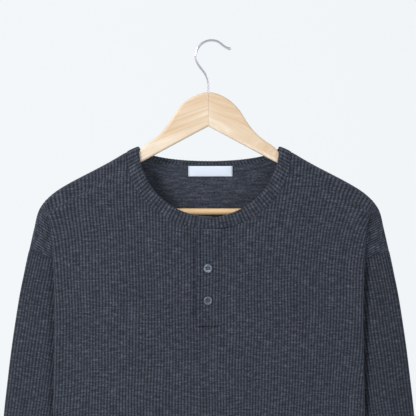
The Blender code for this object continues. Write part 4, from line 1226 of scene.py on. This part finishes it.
def make_sleeve(name, side):
    """A sleeve, and what the rows of stitches round its cuff need."""
    props = bpy.context.scene.henley_knit
    shares, face, ribs = sleeve_loop()
    count = len(shares)
    near = np.array([*CUT_ROWS, 3.0, 5.5]) / UPPER_SLEEVE_LENGTH
    cuff = 2 - CUFF_ROWS / (SLEEVE_RING_Z - CUFF_Z)
    rows = np.concatenate([near, np.linspace(near[-1], 1, 34)[1:], np.linspace(1, cuff[0], 40)[1:],
                           cuff[1:]])
    share = np.broadcast_to(shares, (len(rows), count))
    mid = sleeve_surface(share, np.broadcast_to(rows[:, None], share.shape))
    mid[..., 1] *= face
    x, z = mid[..., 0].copy(), mid[..., 2].copy()
    mid[..., 0] *= side
    normal = grid_normals(mid, closed=True) * side
    from_top, from_cuff = z[0] - z, z - CUFF_Z
    nearest = np.minimum(from_top, from_cuff)
    off_underarm = ease((share - 0.08) / 0.12)
    calm = ease(nearest / 24) * off_underarm * ease((1 - share) / 0.12)
    sunk = folds_at(x, z, SLEEVE_FOLDS) * np.where(face < 0, 1.0, 0.8)
    sunk = (sunk + BEHIND_FOLD_DEPTH[side] * folds_at(x, z, BEHIND_FOLD)) * calm
    dent = stitch_dent(from_cuff, CUFF_LINES)
    seam = 1.1 * np.exp(-(from_top / 2.6) ** 2) * off_underarm * ease((1 - share) / 0.1)
    mid = mid - normal * (sunk + seam + STITCH_DEPTH * dent)[..., None]
    full, pressed = edge_relief(nearest, dent)
    faces = walls(mid, normal, WALL / 2 * rounded(nearest),
                  1 + TURNED_EDGE * ease((CUFF_TURN - from_cuff) / 3))
    for grid in faces:
        rim = grid[0]
        over = np.abs(rim[:, 0]) > SEAM_BEHIND_FOLD[0]
        rim[over, 2] = np.minimum(rim[over, 2], shoulder_seam_height(np.abs(rim[over, 0])))
    period = 2 * ribs * (props.rib_pitch / MM)
    across = np.arange(count) / count * period
    mesh = cloth_mesh(name, faces, list(range(0, count, COLUMNS_A_RIB)), across,
                      rib_places(across, 2 * x, z), SLEEVE_LEAN * x - z, normal, full * pressed,
                      period)
    # painted shade: the sleeves get the body's knit at a lower tone, so they come out darker than
    # the body
    piece = add_cloth(name, mesh, props.rib_pitch, props.rib_height, 13.0 + side,
                      ("marled_cotton_sleeve_knit", 0.43))
    return piece, (mid, normal, from_cuff)


def band_surface(angle, inset, lift):
    """A place on the neckband: the angle goes round from the front, the inset from the seam."""
    front = np.cos(angle) >= 0
    inset = inset + NECK_GAP
    x = (NECK_HALF - inset) * np.sin(angle)
    length = neck_drop(x, np.where(front, NECK_FRONT_Z, NECK_BACK_Z), inset)
    y = body_depth(length) + lift
    return stack(x, np.where(front, -y, y), shoulder_line(x) - drop(length))


def make_band():
    """The rib band round the neck, whose right end lies over its left end at the placket."""
    props = bpy.context.scene.henley_knit
    first, lap = (math.asin(x / NECK_HALF) for x in (PLACKET_LEFT, BAND_LOWER_END))
    dense = np.linspace(first, 2 * math.pi + lap, 2400)
    lengths = run_lengths(band_surface(dense, np.full_like(dense, BAND_WIDTH / 2), 0.0))
    ribs = int(round(lengths[-1] / (props.band_rib_pitch / MM)))
    count = ribs * COLUMNS_A_RIB
    places = np.linspace(0, lengths[-1], count + 1)
    angles = np.interp(places, lengths, dense)
    ends = np.degrees(lap) + BAND_LAP_SPARE
    lift = BAND_LIFT * (1 - ease((np.degrees(angles) - ends) / (BAND_LIFT_ENDS - ends)))
    insets = np.linspace(-0.6, BAND_WIDTH, 12)
    mid = band_surface(angles[None, :], insets[:, None], lift[None, :])
    normal = -grid_normals(mid)
    section = np.array(BAND_SECTION)
    rows = len(section)
    mid[..., 2] -= BAND_SAG * (lift / BAND_LIFT)[None, :] * ease(insets / BAND_WIDTH)[:, None]
    grid = np.zeros((rows, count + 1, 3))
    outward = np.zeros_like(grid)
    for row, (inset, height, _) in enumerate(section):
        at = np.clip((inset - insets[0]) / (insets[1] - insets[0]), 0, len(insets) - 1.001)
        low, share = int(at), at - int(at)
        outward[row] = mix(normal[low], normal[low + 1], share)
        grid[row] = mix(mid[low], mid[low + 1], share) + outward[row] * height
    inwards = mid[-1] - mid[-2]
    inwards /= np.linalg.norm(inwards, axis=1, keepdims=True)
    # the outward directions roll over the folded edge, from the outer face to the inner one
    roll = np.interp(np.arange(rows), (7, 10, 13, 16), (0, math.pi / 2, math.pi, math.pi))
    turn, facing = (np.array([wave(a) for a in roll])[:, None, None]
                    for wave in (math.sin, math.cos))
    outward = outward * facing + inwards[None] * turn
    ends_flat = ease(np.minimum(places, lengths[-1] - places) / 1.2)
    centre = grid[[3, 14]].mean(axis=0)
    grid = centre[None] + (grid - centre[None]) * mix(0.72, 1.0, ends_flat)[None, :, None]
    grid[..., 0] += CENTRE
    ids = np.arange(rows * (count + 1)).reshape(rows, count + 1)
    faces = grid_faces(np.vstack([ids, ids[:1]])) + [ids[:, 0].tolist(), ids[::-1, -1].tolist()]
    mesh = solid_mesh("neck_band", grid.reshape(-1, 3), faces)
    across = np.broadcast_to(places, grid.shape[:2]).ravel()
    down = np.broadcast_to(run_lengths(section[:, :2])[:, None], grid.shape[:2]).ravel()
    inside = np.zeros(len(faces), bool)
    inside[BAND_TAPE_ROW * count:rows * count] = True    # plain neck tape below the folded rib
    cloth_attributes(mesh, inside, across, section[:, 2:] * ends_flat[None, :], outward)
    whole = lengths[-1] / ribs
    knit_map(mesh, across * props.rib_pitch / whole, down * MM)
    return add_cloth("neck_band", mesh, whole * MM, props.band_rib_height, 21.0)


def make_strip(name, places, bottom, lift, wall, seed, sewn=False):
    """A strip of knit down the shirt's front, lifted off the middle of its cloth.

    A sewn one thins out at its right side into the cloth below, and its stitches draw it in.
    """
    props = bpy.context.scene.henley_knit
    ridge = shoulder_line(places)
    start = neck_drop(places, NECK_FRONT_Z) + 0.2
    end = length_down(ridge - bottom)
    edge = np.array([*CUT_ROWS, 3.0]) / STRIP_LENGTH
    share = np.concatenate([edge, np.linspace(edge[-1], 1 - edge[-1], 110)[1:-1], 1 - edge[::-1]])
    length = mix(start[None, :], end[None, :], share[:, None])
    from_end = np.minimum(length - start[None, :], end[None, :] - length)
    mid = stack(np.broadcast_to(places, length.shape), -body_depth(length),
                ridge[None, :] - drop(length))
    x, z = mid[..., 0], mid[..., 2]
    out = np.zeros_like(mid)
    out[..., 1] = -1.0
    from_side = np.minimum(places - places[0], places[-1] - places)[None, :]
    rise, bulge, dent = np.full(len(places), float(lift)), 0.0, np.zeros(x.shape)
    if sewn:
        rise = mix(WALL / 2 - wall / 2, lift, ease((places[-1] - places) / SEWN_WIDTH))
        ring = np.hypot(x - HIDDEN_BUTTON[0], z - HIDDEN_BUTTON[1])
        bulge = 0.5 * np.exp(-((ring - 5.0) / 1.4) ** 2) + 0.25 * (ring < 5)
        bulge = bulge + 1.75 * np.exp(-((places - places[0] - 3.6) / 1.5) ** 2)[None, :]
        lip = 1.5 * np.exp(-((z - bottom) / 2.2) ** 2)
        bulge = bulge + lip * ease((12.0 - places) / 5.0)[None, :]
        for line, depth, left, right in STRIP_LINES:
            held = ease((places - left) / 2 + 0.5) * ease((right - places) / 2 + 0.5)
            dent = dent + depth * np.exp(-((z - line) / 1.5) ** 2) * held[None, :]
    mid = mid + out * (rise[None, :] + bulge - dent)[..., None]
    nearest = np.minimum(from_side, from_end)
    relief = ease(nearest / 2.0 + 0.3) * (1 - 0.4 * np.clip(dent, 0, 1))
    count = len(places)
    keep = sorted({*range(0, count, 4), 0, 1, 2, count - 3, count - 2, count - 1})
    mesh = cloth_mesh(name, walls(mid, out, wall / 2 * rounded(nearest, wall / 2)), keep, places,
                      rib_places(places + seed, x, z), length + seed, out, relief)
    return add_cloth(name, mesh, props.rib_pitch, props.rib_height, seed)


def strip_places(left, right):
    """Columns across a strip, in step with the panel's, and close at its edges."""
    step = column_step()
    inner = np.arange(math.ceil((left + 1) / step), math.floor((right - 1) / step) + 1) * step
    return np.concatenate([[left, left + 0.25, left + 0.6], inner,
                           [right - 0.6, right - 0.25, right]])


# ---------------------------------------------------------------- operators

class HENLEY_OT_panels(bpy.types.Operator):
    """Make the front and back panels with their folds and twin-stitched hem"""
    bl_idname = "henley.panels"
    bl_label = "Front and back"

    def execute(self, context):
        lines = []
        for node, front, area in (("front", True, 0.365), ("back", False, 0.375)):
            piece, hem = make_panel(f"shirt_{node}", front)
            settle(piece, "knit", node)
            lines += [line_on_grid(*hem, at) for at in HEM_LINES]
        stitch_rows("hem_stitches", lines, "knit", "charcoal_thread",
                    context.scene.henley_trim.thread)
        return {"FINISHED"}


class HENLEY_OT_sleeves(bpy.types.Operator):
    """Make the two sleeves with their twin-stitched cuffs"""
    bl_idname = "henley.sleeves"
    bl_label = "Sleeves"

    def execute(self, context):
        lines = []
        for name, side in SIDES:
            piece, cuff = make_sleeve(f"shirt_sleeve_{name}", side)
            settle(piece, "knit", f"sleeve_{name}")
            for at in CUFF_LINES:
                lines.append([np.vstack([row, row[:1]]) for row in line_on_grid(*cuff, at)])
        stitch_rows("cuff_stitches", lines, "knit", "charcoal_thread",
                    context.scene.henley_trim.thread)
        return {"FINISHED"}


class HENLEY_OT_neckband(bpy.types.Operator):
    """Make the ribbed band round the neck"""
    bl_idname = "henley.neckband"
    bl_label = "Neckband"

    def execute(self, context):
        piece = settle(make_band(), "knit", "neckband")
        return {"FINISHED"}


class HENLEY_OT_placket(bpy.types.Operator):
    """Make the two strips of the placket and their stitching"""
    bl_idname = "henley.placket"
    bl_label = "Placket"

    def execute(self, context):
        inset = NOTCH_INSET + 0.2
        under = make_strip("placket_under_strip",
                           strip_places(PLACKET_LEFT + inset, PLACKET_RIGHT - inset),
                           NOTCH_BOTTOM + 0.1, 0.0, WALL, 30.0)
        settle(under, "knit", "placket_under")
        lift = WALL / 2 + 0.6 + GAP + PLACKET_WALL / 2
        upper = make_strip("placket_upper_strip", strip_places(PLACKET_LEFT, PLACKET_RIGHT),
                           PLACKET_BOTTOM, lift, PLACKET_WALL, 33.0, sewn=True)
        settle(upper, "knit", "placket_upper")
        # painted shadow: the placket's lower stitches have near-black thread, for the shadow under
        # the strip's lower edge
        for name, rows, tone in (("placket_stitches", STRIP_LINES[:2], "#1a1c21"),
                                 ("neck_seam_stitches", STRIP_LINES[2:], "#6a707d")):
            lines = []
            for z, depth, left, right in rows:
                x = np.linspace(left, right, 24)
                length = length_down(shoulder_line(x) - z)
                rise = mix(WALL / 2 - PLACKET_WALL / 2, lift,
                           ease((PLACKET_RIGHT - x) / SEWN_WIDTH))
                y = -(body_depth(length) + rise + PLACKET_WALL / 2 + 0.65 - depth)
                lines.append((stack(x + CENTRE, y, z), stack(0.0 * x, -1.0, 0.0)))
            stitch_rows(name, lines, "knit", f"{name}_thread", tone)
        return {"FINISHED"}


def button_place(height):
    """Place of a button's back on the placket."""
    length = length_down(read_table(RIDGE, 0.0) - height)
    return CENTRE + BUTTON_X, -(float(body_depth(length)) + WALL / 2 + PLACKET_WALL + 1.5), height


def make_button(name, height, pale_from_with_shade):
    """A turned button with its four holes drilled."""
    radius = bpy.context.scene.henley_trim.button_radius / MM
    x, y, z = button_place(height)
    angles = np.arange(BUTTON_SIDES) / BUTTON_SIDES * 2 * math.pi
    points = [(x, y - BUTTON_PROFILE[0][1], z)]
    for share, rise in BUTTON_PROFILE[1:-1]:
        points += [(x + share * radius * math.cos(a), y - rise, z + share * radius * math.sin(a))
                   for a in angles]
    points.append((x, y, z))
    faces = []
    starts = [1 + ring * BUTTON_SIDES for ring in range(len(BUTTON_PROFILE) - 2)]
    for step in range(BUTTON_SIDES):
        after = (step + 1) % BUTTON_SIDES
        faces.append((0, 1 + step, 1 + after))
        faces += [(a + step, b + step, b + after, a + after) for a, b in zip(starts, starts[1:])]
        faces.append((starts[-1] + step, len(points) - 1, starts[-1] + after))
    button = new_piece(name, solid_mesh(name, points, faces))
    drills = bmesh.new()
    for across in (-HOLE_OFFSET, HOLE_OFFSET):
        for up in (-HOLE_OFFSET, HOLE_OFFSET):
            drill = bmesh.ops.create_cone(
                drills, cap_ends=True, segments=24, radius1=HOLE_RADIUS * MM,
                radius2=HOLE_RADIUS * MM, depth=12 * MM)["verts"]
            bmesh.ops.rotate(drills, verts=drill, matrix=Matrix.Rotation(math.pi / 2, 3, "X"))
            bmesh.ops.translate(drills, verts=drill, vec=Vector((x + across, y, z + up)) * MM)
    drill_mesh = bpy.data.meshes.new(name + "_holes")
    drills.to_mesh(drill_mesh)
    drills.free()
    cutter = new_piece(name + "_holes", drill_mesh)
    drilled = button.modifiers.new("holes", "BOOLEAN")
    drilled.object = cutter
    drilled.solver = "EXACT"
    keep_result(button)
    bpy.data.objects.remove(cutter, do_unlink=True)
    button.data.shade_smooth()
    button.data.set_sharp_from_angle(angle=math.radians(42))
    # painted shade: each button gets its own resin material, the lower one darker
    return dress(button, material(f"cast_resin_{name}", button_resin, pale_from_with_shade))


def tube(name, runs, radius, resolution, shares=None):
    """A mesh of round wire along runs of points in mm; shares scale its radius at each point."""
    wire = bpy.data.curves.new(name, "CURVE")
    wire.dimensions = "3D"
    wire.bevel_depth = radius
    wire.bevel_resolution = resolution
    wire.use_fill_caps = True
    for run in runs:
        spline = wire.splines.new("POLY")
        spline.points.add(len(run) - 1)
        for point, place, share in zip(spline.points, run, shares or [1.0] * len(run)):
            point.co = (*(part * MM for part in place), 1)
            point.radius = share
    holder = new_piece(name + "_path", wire)
    bpy.context.view_layer.update()
    graph = bpy.context.evaluated_depsgraph_get()
    mesh = bpy.data.meshes.new_from_object(holder.evaluated_get(graph))
    mesh.name = name
    bpy.data.objects.remove(holder, do_unlink=True)
    turn_outwards(mesh, merge=0.00001)
    mesh.shade_smooth()
    return mesh


class HENLEY_OT_buttons(bpy.types.Operator):
    """Make the two four-hole buttons and the thread that holds them"""
    bl_idname = "henley.buttons"
    bl_label = "Buttons"

    def execute(self, context):
        for name, height, pale_from_with_shade in zip(("top", "bottom"), BUTTON_HEIGHTS, BUTTON_PALE_FROM_WITH_SHADE):
            settle(make_button(f"resin_button_{name}", height, pale_from_with_shade), "button",
                   f"button_{name}")
            x, y, z = button_place(height)
            runs = [[(x + hole + strand, y + back, z + up) for up, back in THREAD_ARCH]
                    for hole in (-HOLE_OFFSET, HOLE_OFFSET) for strand in (-0.26, 0.26)]
            bars = new_piece(f"button_thread_{name}",
                             tube(f"button_thread_{name}", runs, 0.36 * MM, 2))
            settle(dress(bars, material("button_thread", sewing_thread, "#363a43")), "knit")
        return {"FINISHED"}


class HENLEY_OT_label(bpy.types.Operator):
    """Make the bare label inside the back of the neck"""
    bl_idname = "henley.label"
    bl_label = "Label"

    def execute(self, context):
        places = np.linspace(LABEL_X - LABEL_HALF, LABEL_X + LABEL_HALF, 42)
        ridge = float(read_table(RIDGE, 0.0))
        heights = np.concatenate([[0, 0.12, 0.35], np.linspace(0.8, 13.8, 12),
                                  [14.25, 14.48, LABEL_WIDTH]])
        z = LABEL_TOP - heights[:, None] + 0.0 * places[None, :]
        from_end = np.minimum(places - places[0], places[-1] - places)
        belly = np.sin(heights / LABEL_WIDTH * math.pi)[:, None] ** 0.5
        bow = 0.9 * ease(from_end / 9.0)[None, :] * belly
        mid = stack(np.broadcast_to(places, z.shape),
                    body_depth(length_down(ridge - z)) - (LABEL_STAND + bow), z)
        out = np.zeros_like(mid)
        out[..., 1] = -1.0
        from_side = np.minimum(heights, LABEL_WIDTH - heights)[:, None]
        half = 0.3 * rounded(np.minimum(from_end[None, :], from_side), 0.3)
        mesh = cloth_mesh("neck_label_ribbon", walls(mid, out, half), list(range(len(places))),
                          places, np.broadcast_to(places, z.shape),
                          np.broadcast_to(heights[:, None], z.shape), out, np.zeros(z.shape))
        piece = drop_attributes(new_piece("neck_label_ribbon", mesh))
        dress(piece, material("woven_satin_label", label_satin, context.scene.henley_trim.label))
        settle(piece, "label", "neck_label")
        lines = []
        for x in (places[0] + 1.5, places[-1] - 1.5):
            down = np.linspace(LABEL_TOP - 1.2, LABEL_BOTTOM + 1.2, 12)
            depth = body_depth(length_down(ridge - down)) - LABEL_STAND - 0.3
            lines.append((stack(x + CENTRE, depth, down), stack(0.0 * down, -1.0, 0.0)))
        stitch_rows("label_stitches", lines, "label", "label_thread", "#5f6884",
                    pitch=2.0 * MM, thread=0.4 * MM)
        return {"FINISHED"}


def arc(centre, radius, start, end, steps):
    """Points on an arc, in degrees from +X."""
    angles = [math.radians(mix(start, end, i / steps)) for i in range(steps + 1)]
    return [(centre[0] + radius * math.cos(a), centre[1] + radius * math.sin(a)) for a in angles]


def smooth_line(points, step):
    """Points close together on a smooth curve through the given ones."""
    points = np.array(points, float)
    places = run_lengths(points)
    even = np.linspace(0, places[-1], max(2, int(places[-1] / step)))
    return [tuple(float(read_table(list(zip(places, points[:, k])), at))
                  for k in range(points.shape[1])) for at in even]


def arm_outline():
    """One arm seen from the front, from the joint round its end and back."""
    top = [(max(x, 0.02), z) for x, z in ARM_TOP]
    top += [(x, float(read_table(RIDGE, x + 0.9)) - ARM_UNDER_CLOTH) for x in ARM_TOP_UNDER_CLOTH]
    shoulder_z = float(read_table(RIDGE, ARM_HALF)) - ARM_UNDER_CLOTH
    inner_x = ARM_HALF - END_BLOCK
    low_z = END_BOTTOM + END_ROUNDING
    end = []
    for centre, start, stop, steps in (
            ((ARM_HALF - END_ROUNDING, shoulder_z - END_ROUNDING), 60, 0, 7),
            ((ARM_HALF - END_ROUNDING, low_z), 0, -90, 9),
            ((inner_x + END_ROUNDING, low_z), -90, -180, 9)):
        end += arc(centre, END_ROUNDING, start, stop, steps)
    low = [(inner_x, ARM_LOWER_START - ARM_LOWER_SLOPE * inner_x), (0.02, ARM_LOWER_START)]
    return smooth_line(top, 2.5) + end + low


def inset_outline(points, distance):
    """An arm's outline moved inwards, with the cut face of the joint left where it is."""
    points = np.array(points)
    edge = np.roll(points, -1, axis=0) - points
    edge /= np.linalg.norm(edge, axis=1, keepdims=True)
    inwards = np.stack([edge[:, 1], -edge[:, 0]], axis=1)      # the outline runs clockwise
    both = inwards + np.roll(inwards, 1, axis=0)
    both /= np.maximum(np.sum(both * inwards, axis=1, keepdims=True), 0.7)
    chamfer = min(distance, 0.1)
    both[0] = (chamfer / max(distance, 1e-6), -1.02)
    both[-1] = (chamfer / max(distance, 1e-6), math.hypot(1, ARM_LOWER_SLOPE))
    return points + both * distance


def make_arm(name, side):
    """A flat arm sawn from a board, with its edges rounded all round but at the joint."""
    outline = arm_outline()
    count = len(outline)
    half = ARM_THICKNESS / 2
    turns = [math.pi / 2 * k / 6 for k in range(7)]
    rings = [(ARM_ROUNDING * (1 - math.cos(t)), half - ARM_ROUNDING * (1 - math.sin(t)))
             for t in turns] + [(ARM_ROUNDING + 0.7, half)]
    rings = rings[::-1] + [(inset, -y) for inset, y in rings]
    points = [(HANGER_X + side * x, y, z)
              for inset, y in rings for x, z in inset_outline(outline, inset)]
    ids = np.arange(len(points)).reshape(len(rings), count)
    flat = tessellate_polygon([[Vector(p) for p in points[:count]]])
    faces = grid_faces(np.hstack([ids, ids[:, :1]]), turned=True)
    for start in (0, int(ids[-1, 0])):
        faces += [tuple(start + i for i in corners) for corners in flat]
    mesh = solid_mesh(name, points, faces, sharp=40)
    place = np.array(points) * MM
    slope = math.atan(ARM_LOWER_SLOPE)
    x = side * (place[:, 0] - HANGER_X * MM)
    along = x * math.cos(slope) - place[:, 2] * math.sin(slope)
    across = x * math.sin(slope) + place[:, 2] * math.cos(slope)
    board, figure, middle = ARM_BOARDS[side]
    across = across + figure * (along - middle) ** 2
    point_attribute(mesh, "grain", stack(along + board, across + board, place[:, 1]))
    # each arm's colour is darker along its upper part than along its lower part
    point_attribute(mesh, "heart", ease((across + 0.092) / 0.016))
    props = bpy.context.scene.henley_hanger
    return dress(new_piece(name, mesh), material(
        "lacquered_lotus_wood", lacquered_wood, props.wood_light, props.wood_dark))


class HENLEY_OT_hanger(bpy.types.Operator):
    """Make the hanger's two arms and its round bar"""
    bl_idname = "henley.hanger"
    bl_label = "Hanger"

    def execute(self, context):
        for name, side in SIDES:
            settle(make_arm(f"wooden_arm_{name}", side), "wood", f"hanger_arm_{name}")
        half = ARM_HALF - END_BLOCK
        rings, sides = 60, 48
        angle = np.arange(sides) / sides * 2 * math.pi
        along = np.linspace(-half, half, rings)
        grid = stack(along[:, None] + HANGER_X, BAR_RADIUS * np.cos(angle)[None, :],
                     BAR_Z + BAR_RADIUS * np.sin(angle)[None, :]).reshape(-1, 3)
        ids = np.arange(rings * sides).reshape(rings, sides)
        mesh = solid_mesh("wooden_bar", grid, grid_faces(np.hstack([ids, ids[:, :1]]))
                          + [ids[0].tolist(), ids[-1][::-1].tolist()], sharp=40)
        point_attribute(mesh, "grain", grid * MM + np.array([0.1, 0.5, 0.3]))
        point_attribute(mesh, "heart", np.full(rings * sides, 0.3))
        props = context.scene.henley_hanger
        bar = dress(new_piece("wooden_bar", mesh), material(
            "turned_wooden_bar", lacquered_wood, props.bar_light, props.bar_dark))
        settle(bar, "wood", "hanger_bar")
        return {"FINISHED"}


class HENLEY_OT_hook(bpy.types.Operator):
    """Make the wire hook with its rounded tip"""
    bl_idname = "henley.hook"
    bl_label = "Hook"

    def execute(self, context):
        props = context.scene.henley_hanger
        route = [(HANGER_X + x, z) for x, z in HOOK_SHANK]
        route += arc(HOOK_CENTRE, HOOK_RADIUS, *HOOK_ARC, 26)
        route = smooth_line(route + list(HOOK_TIP), 1.2)
        shares = [1.0] * (len(route) - len(HOOK_TIP_SHARES) + 1) + list(HOOK_TIP_SHARES)
        last, before = np.array(route[-1]), np.array(route[-2])
        route.append(tuple(last + (last - before) / np.linalg.norm(last - before) * 0.25))
        wire = tube("wire_hook", [[(x, 0.0, z) for x, z in route]], props.wire_radius, 6, shares)
        hook = dress(new_piece("wire_hook", wire), material(
            "nickel_plated_wire", plated_wire, props.steel))
        settle(hook, "steel", "hanger_hook")
        return {"FINISHED"}


class HENLEY_OT_stage(bpy.types.Operator):
    """Make the floor, the studio light and the camera"""
    bl_idname = "henley.stage"
    bl_label = "Stage"

    def execute(self, context):
        scene = context.scene
        props = scene.henley_stage
        disc = bmesh.new()
        bmesh.ops.create_circle(disc, cap_ends=True, segments=96, radius=FLOOR_RADIUS)
        mesh = bpy.data.meshes.new("floor")
        disc.to_mesh(mesh)
        disc.free()
        mesh.transform(Matrix.Translation((0, 0, FLOOR_HEIGHT)))
        floor = new_piece("floor", mesh)
        dress(floor, material("painted_floor", painted_floor, props.floor))

        world = scene.world = scene.world or bpy.data.worlds.new("studio")
        world.use_nodes = True
        tree = world.node_tree
        tree.nodes.clear()
        add = partial(add_node, tree)
        calc = partial(add, "ShaderNodeMath", operation="MULTIPLY_ADD")
        split = add("ShaderNodeSeparateXYZ", add("ShaderNodeTexCoord")).node.outputs
        # brightest behind the shirt and a little brighter at the left
        strength = calc(split["X"], -0.06, calc(split["Y"], 0.2, 0.8))
        sky = add("ShaderNodeBackground", {
            "Color": linear(props.backdrop), "Strength": strength})
        add("ShaderNodeOutputWorld", {"Surface": sky})

        for name, place, across in LAMPS:
            light = bpy.data.lights.new(name, "AREA")
            light.energy = getattr(props, f"{name}_power")
            light.size = across
            lamp = new_piece(name, light)
            lamp.location = place
            towards = Vector((0, 0, LIT_HEIGHT)) - Vector(place)
            lamp.rotation_euler = towards.to_track_quat("-Z", "Y").to_euler()

        lens = bpy.data.cameras.new("camera")
        lens.sensor_width = 36.0
        lens.lens = 36.0 * props.distance / props.view_width
        camera = new_piece("camera", lens)
        camera.location = (VIEW_CENTRE[0], -props.distance, VIEW_CENTRE[1])
        camera.rotation_euler = (math.pi / 2, 0, 0)
        scene.camera = camera
        scene.view_settings.view_transform = "Standard"
        return {"FINISHED"}


class HENLEY_PT_panel(bpy.types.Panel):
    """Sizes, colours and pieces of the henley shirt"""
    bl_idname = "HENLEY_PT_panel"
    bl_label = "Henley shirt"
    bl_space_type = "VIEW_3D"
    bl_region_type = "UI"
    bl_category = "Henley"

    def draw(self, context):
        for operator in OPERATORS:
            self.layout.operator(operator.bl_idname)
        for name, group in GROUPS.items():
            box = self.layout.box()
            box.label(text=group.__doc__)
            for key in group.__annotations__:
                box.prop(getattr(context.scene, name), key)


GROUPS = {"henley_knit": HenleyKnit, "henley_trim": HenleyTrim, "henley_hanger": HenleyHanger,
          "henley_stage": HenleyStage}
OPERATORS = (HENLEY_OT_stage, HENLEY_OT_hanger, HENLEY_OT_hook, HENLEY_OT_panels,
             HENLEY_OT_sleeves, HENLEY_OT_neckband, HENLEY_OT_placket, HENLEY_OT_buttons,
             HENLEY_OT_label)


def register():
    for made in (*GROUPS.values(), *OPERATORS, HENLEY_PT_panel):
        bpy.utils.register_class(made)
    for name, group in GROUPS.items():
        setattr(bpy.types.Scene, name, bpy.props.PointerProperty(type=group))


def unregister():
    for name in GROUPS:
        delattr(bpy.types.Scene, name)
    for made in (HENLEY_PT_panel, *reversed(OPERATORS), *GROUPS.values()):
        bpy.utils.unregister_class(made)


def main():
    register()
    bpy.ops.henley.stage()
    bpy.ops.henley.hanger()
    bpy.ops.henley.hook()
    bpy.ops.henley.panels()
    bpy.ops.henley.sleeves()
    bpy.ops.henley.neckband()
    bpy.ops.henley.placket()
    bpy.ops.henley.buttons()
    bpy.ops.henley.label()


if __name__ == "__main__":
    main()
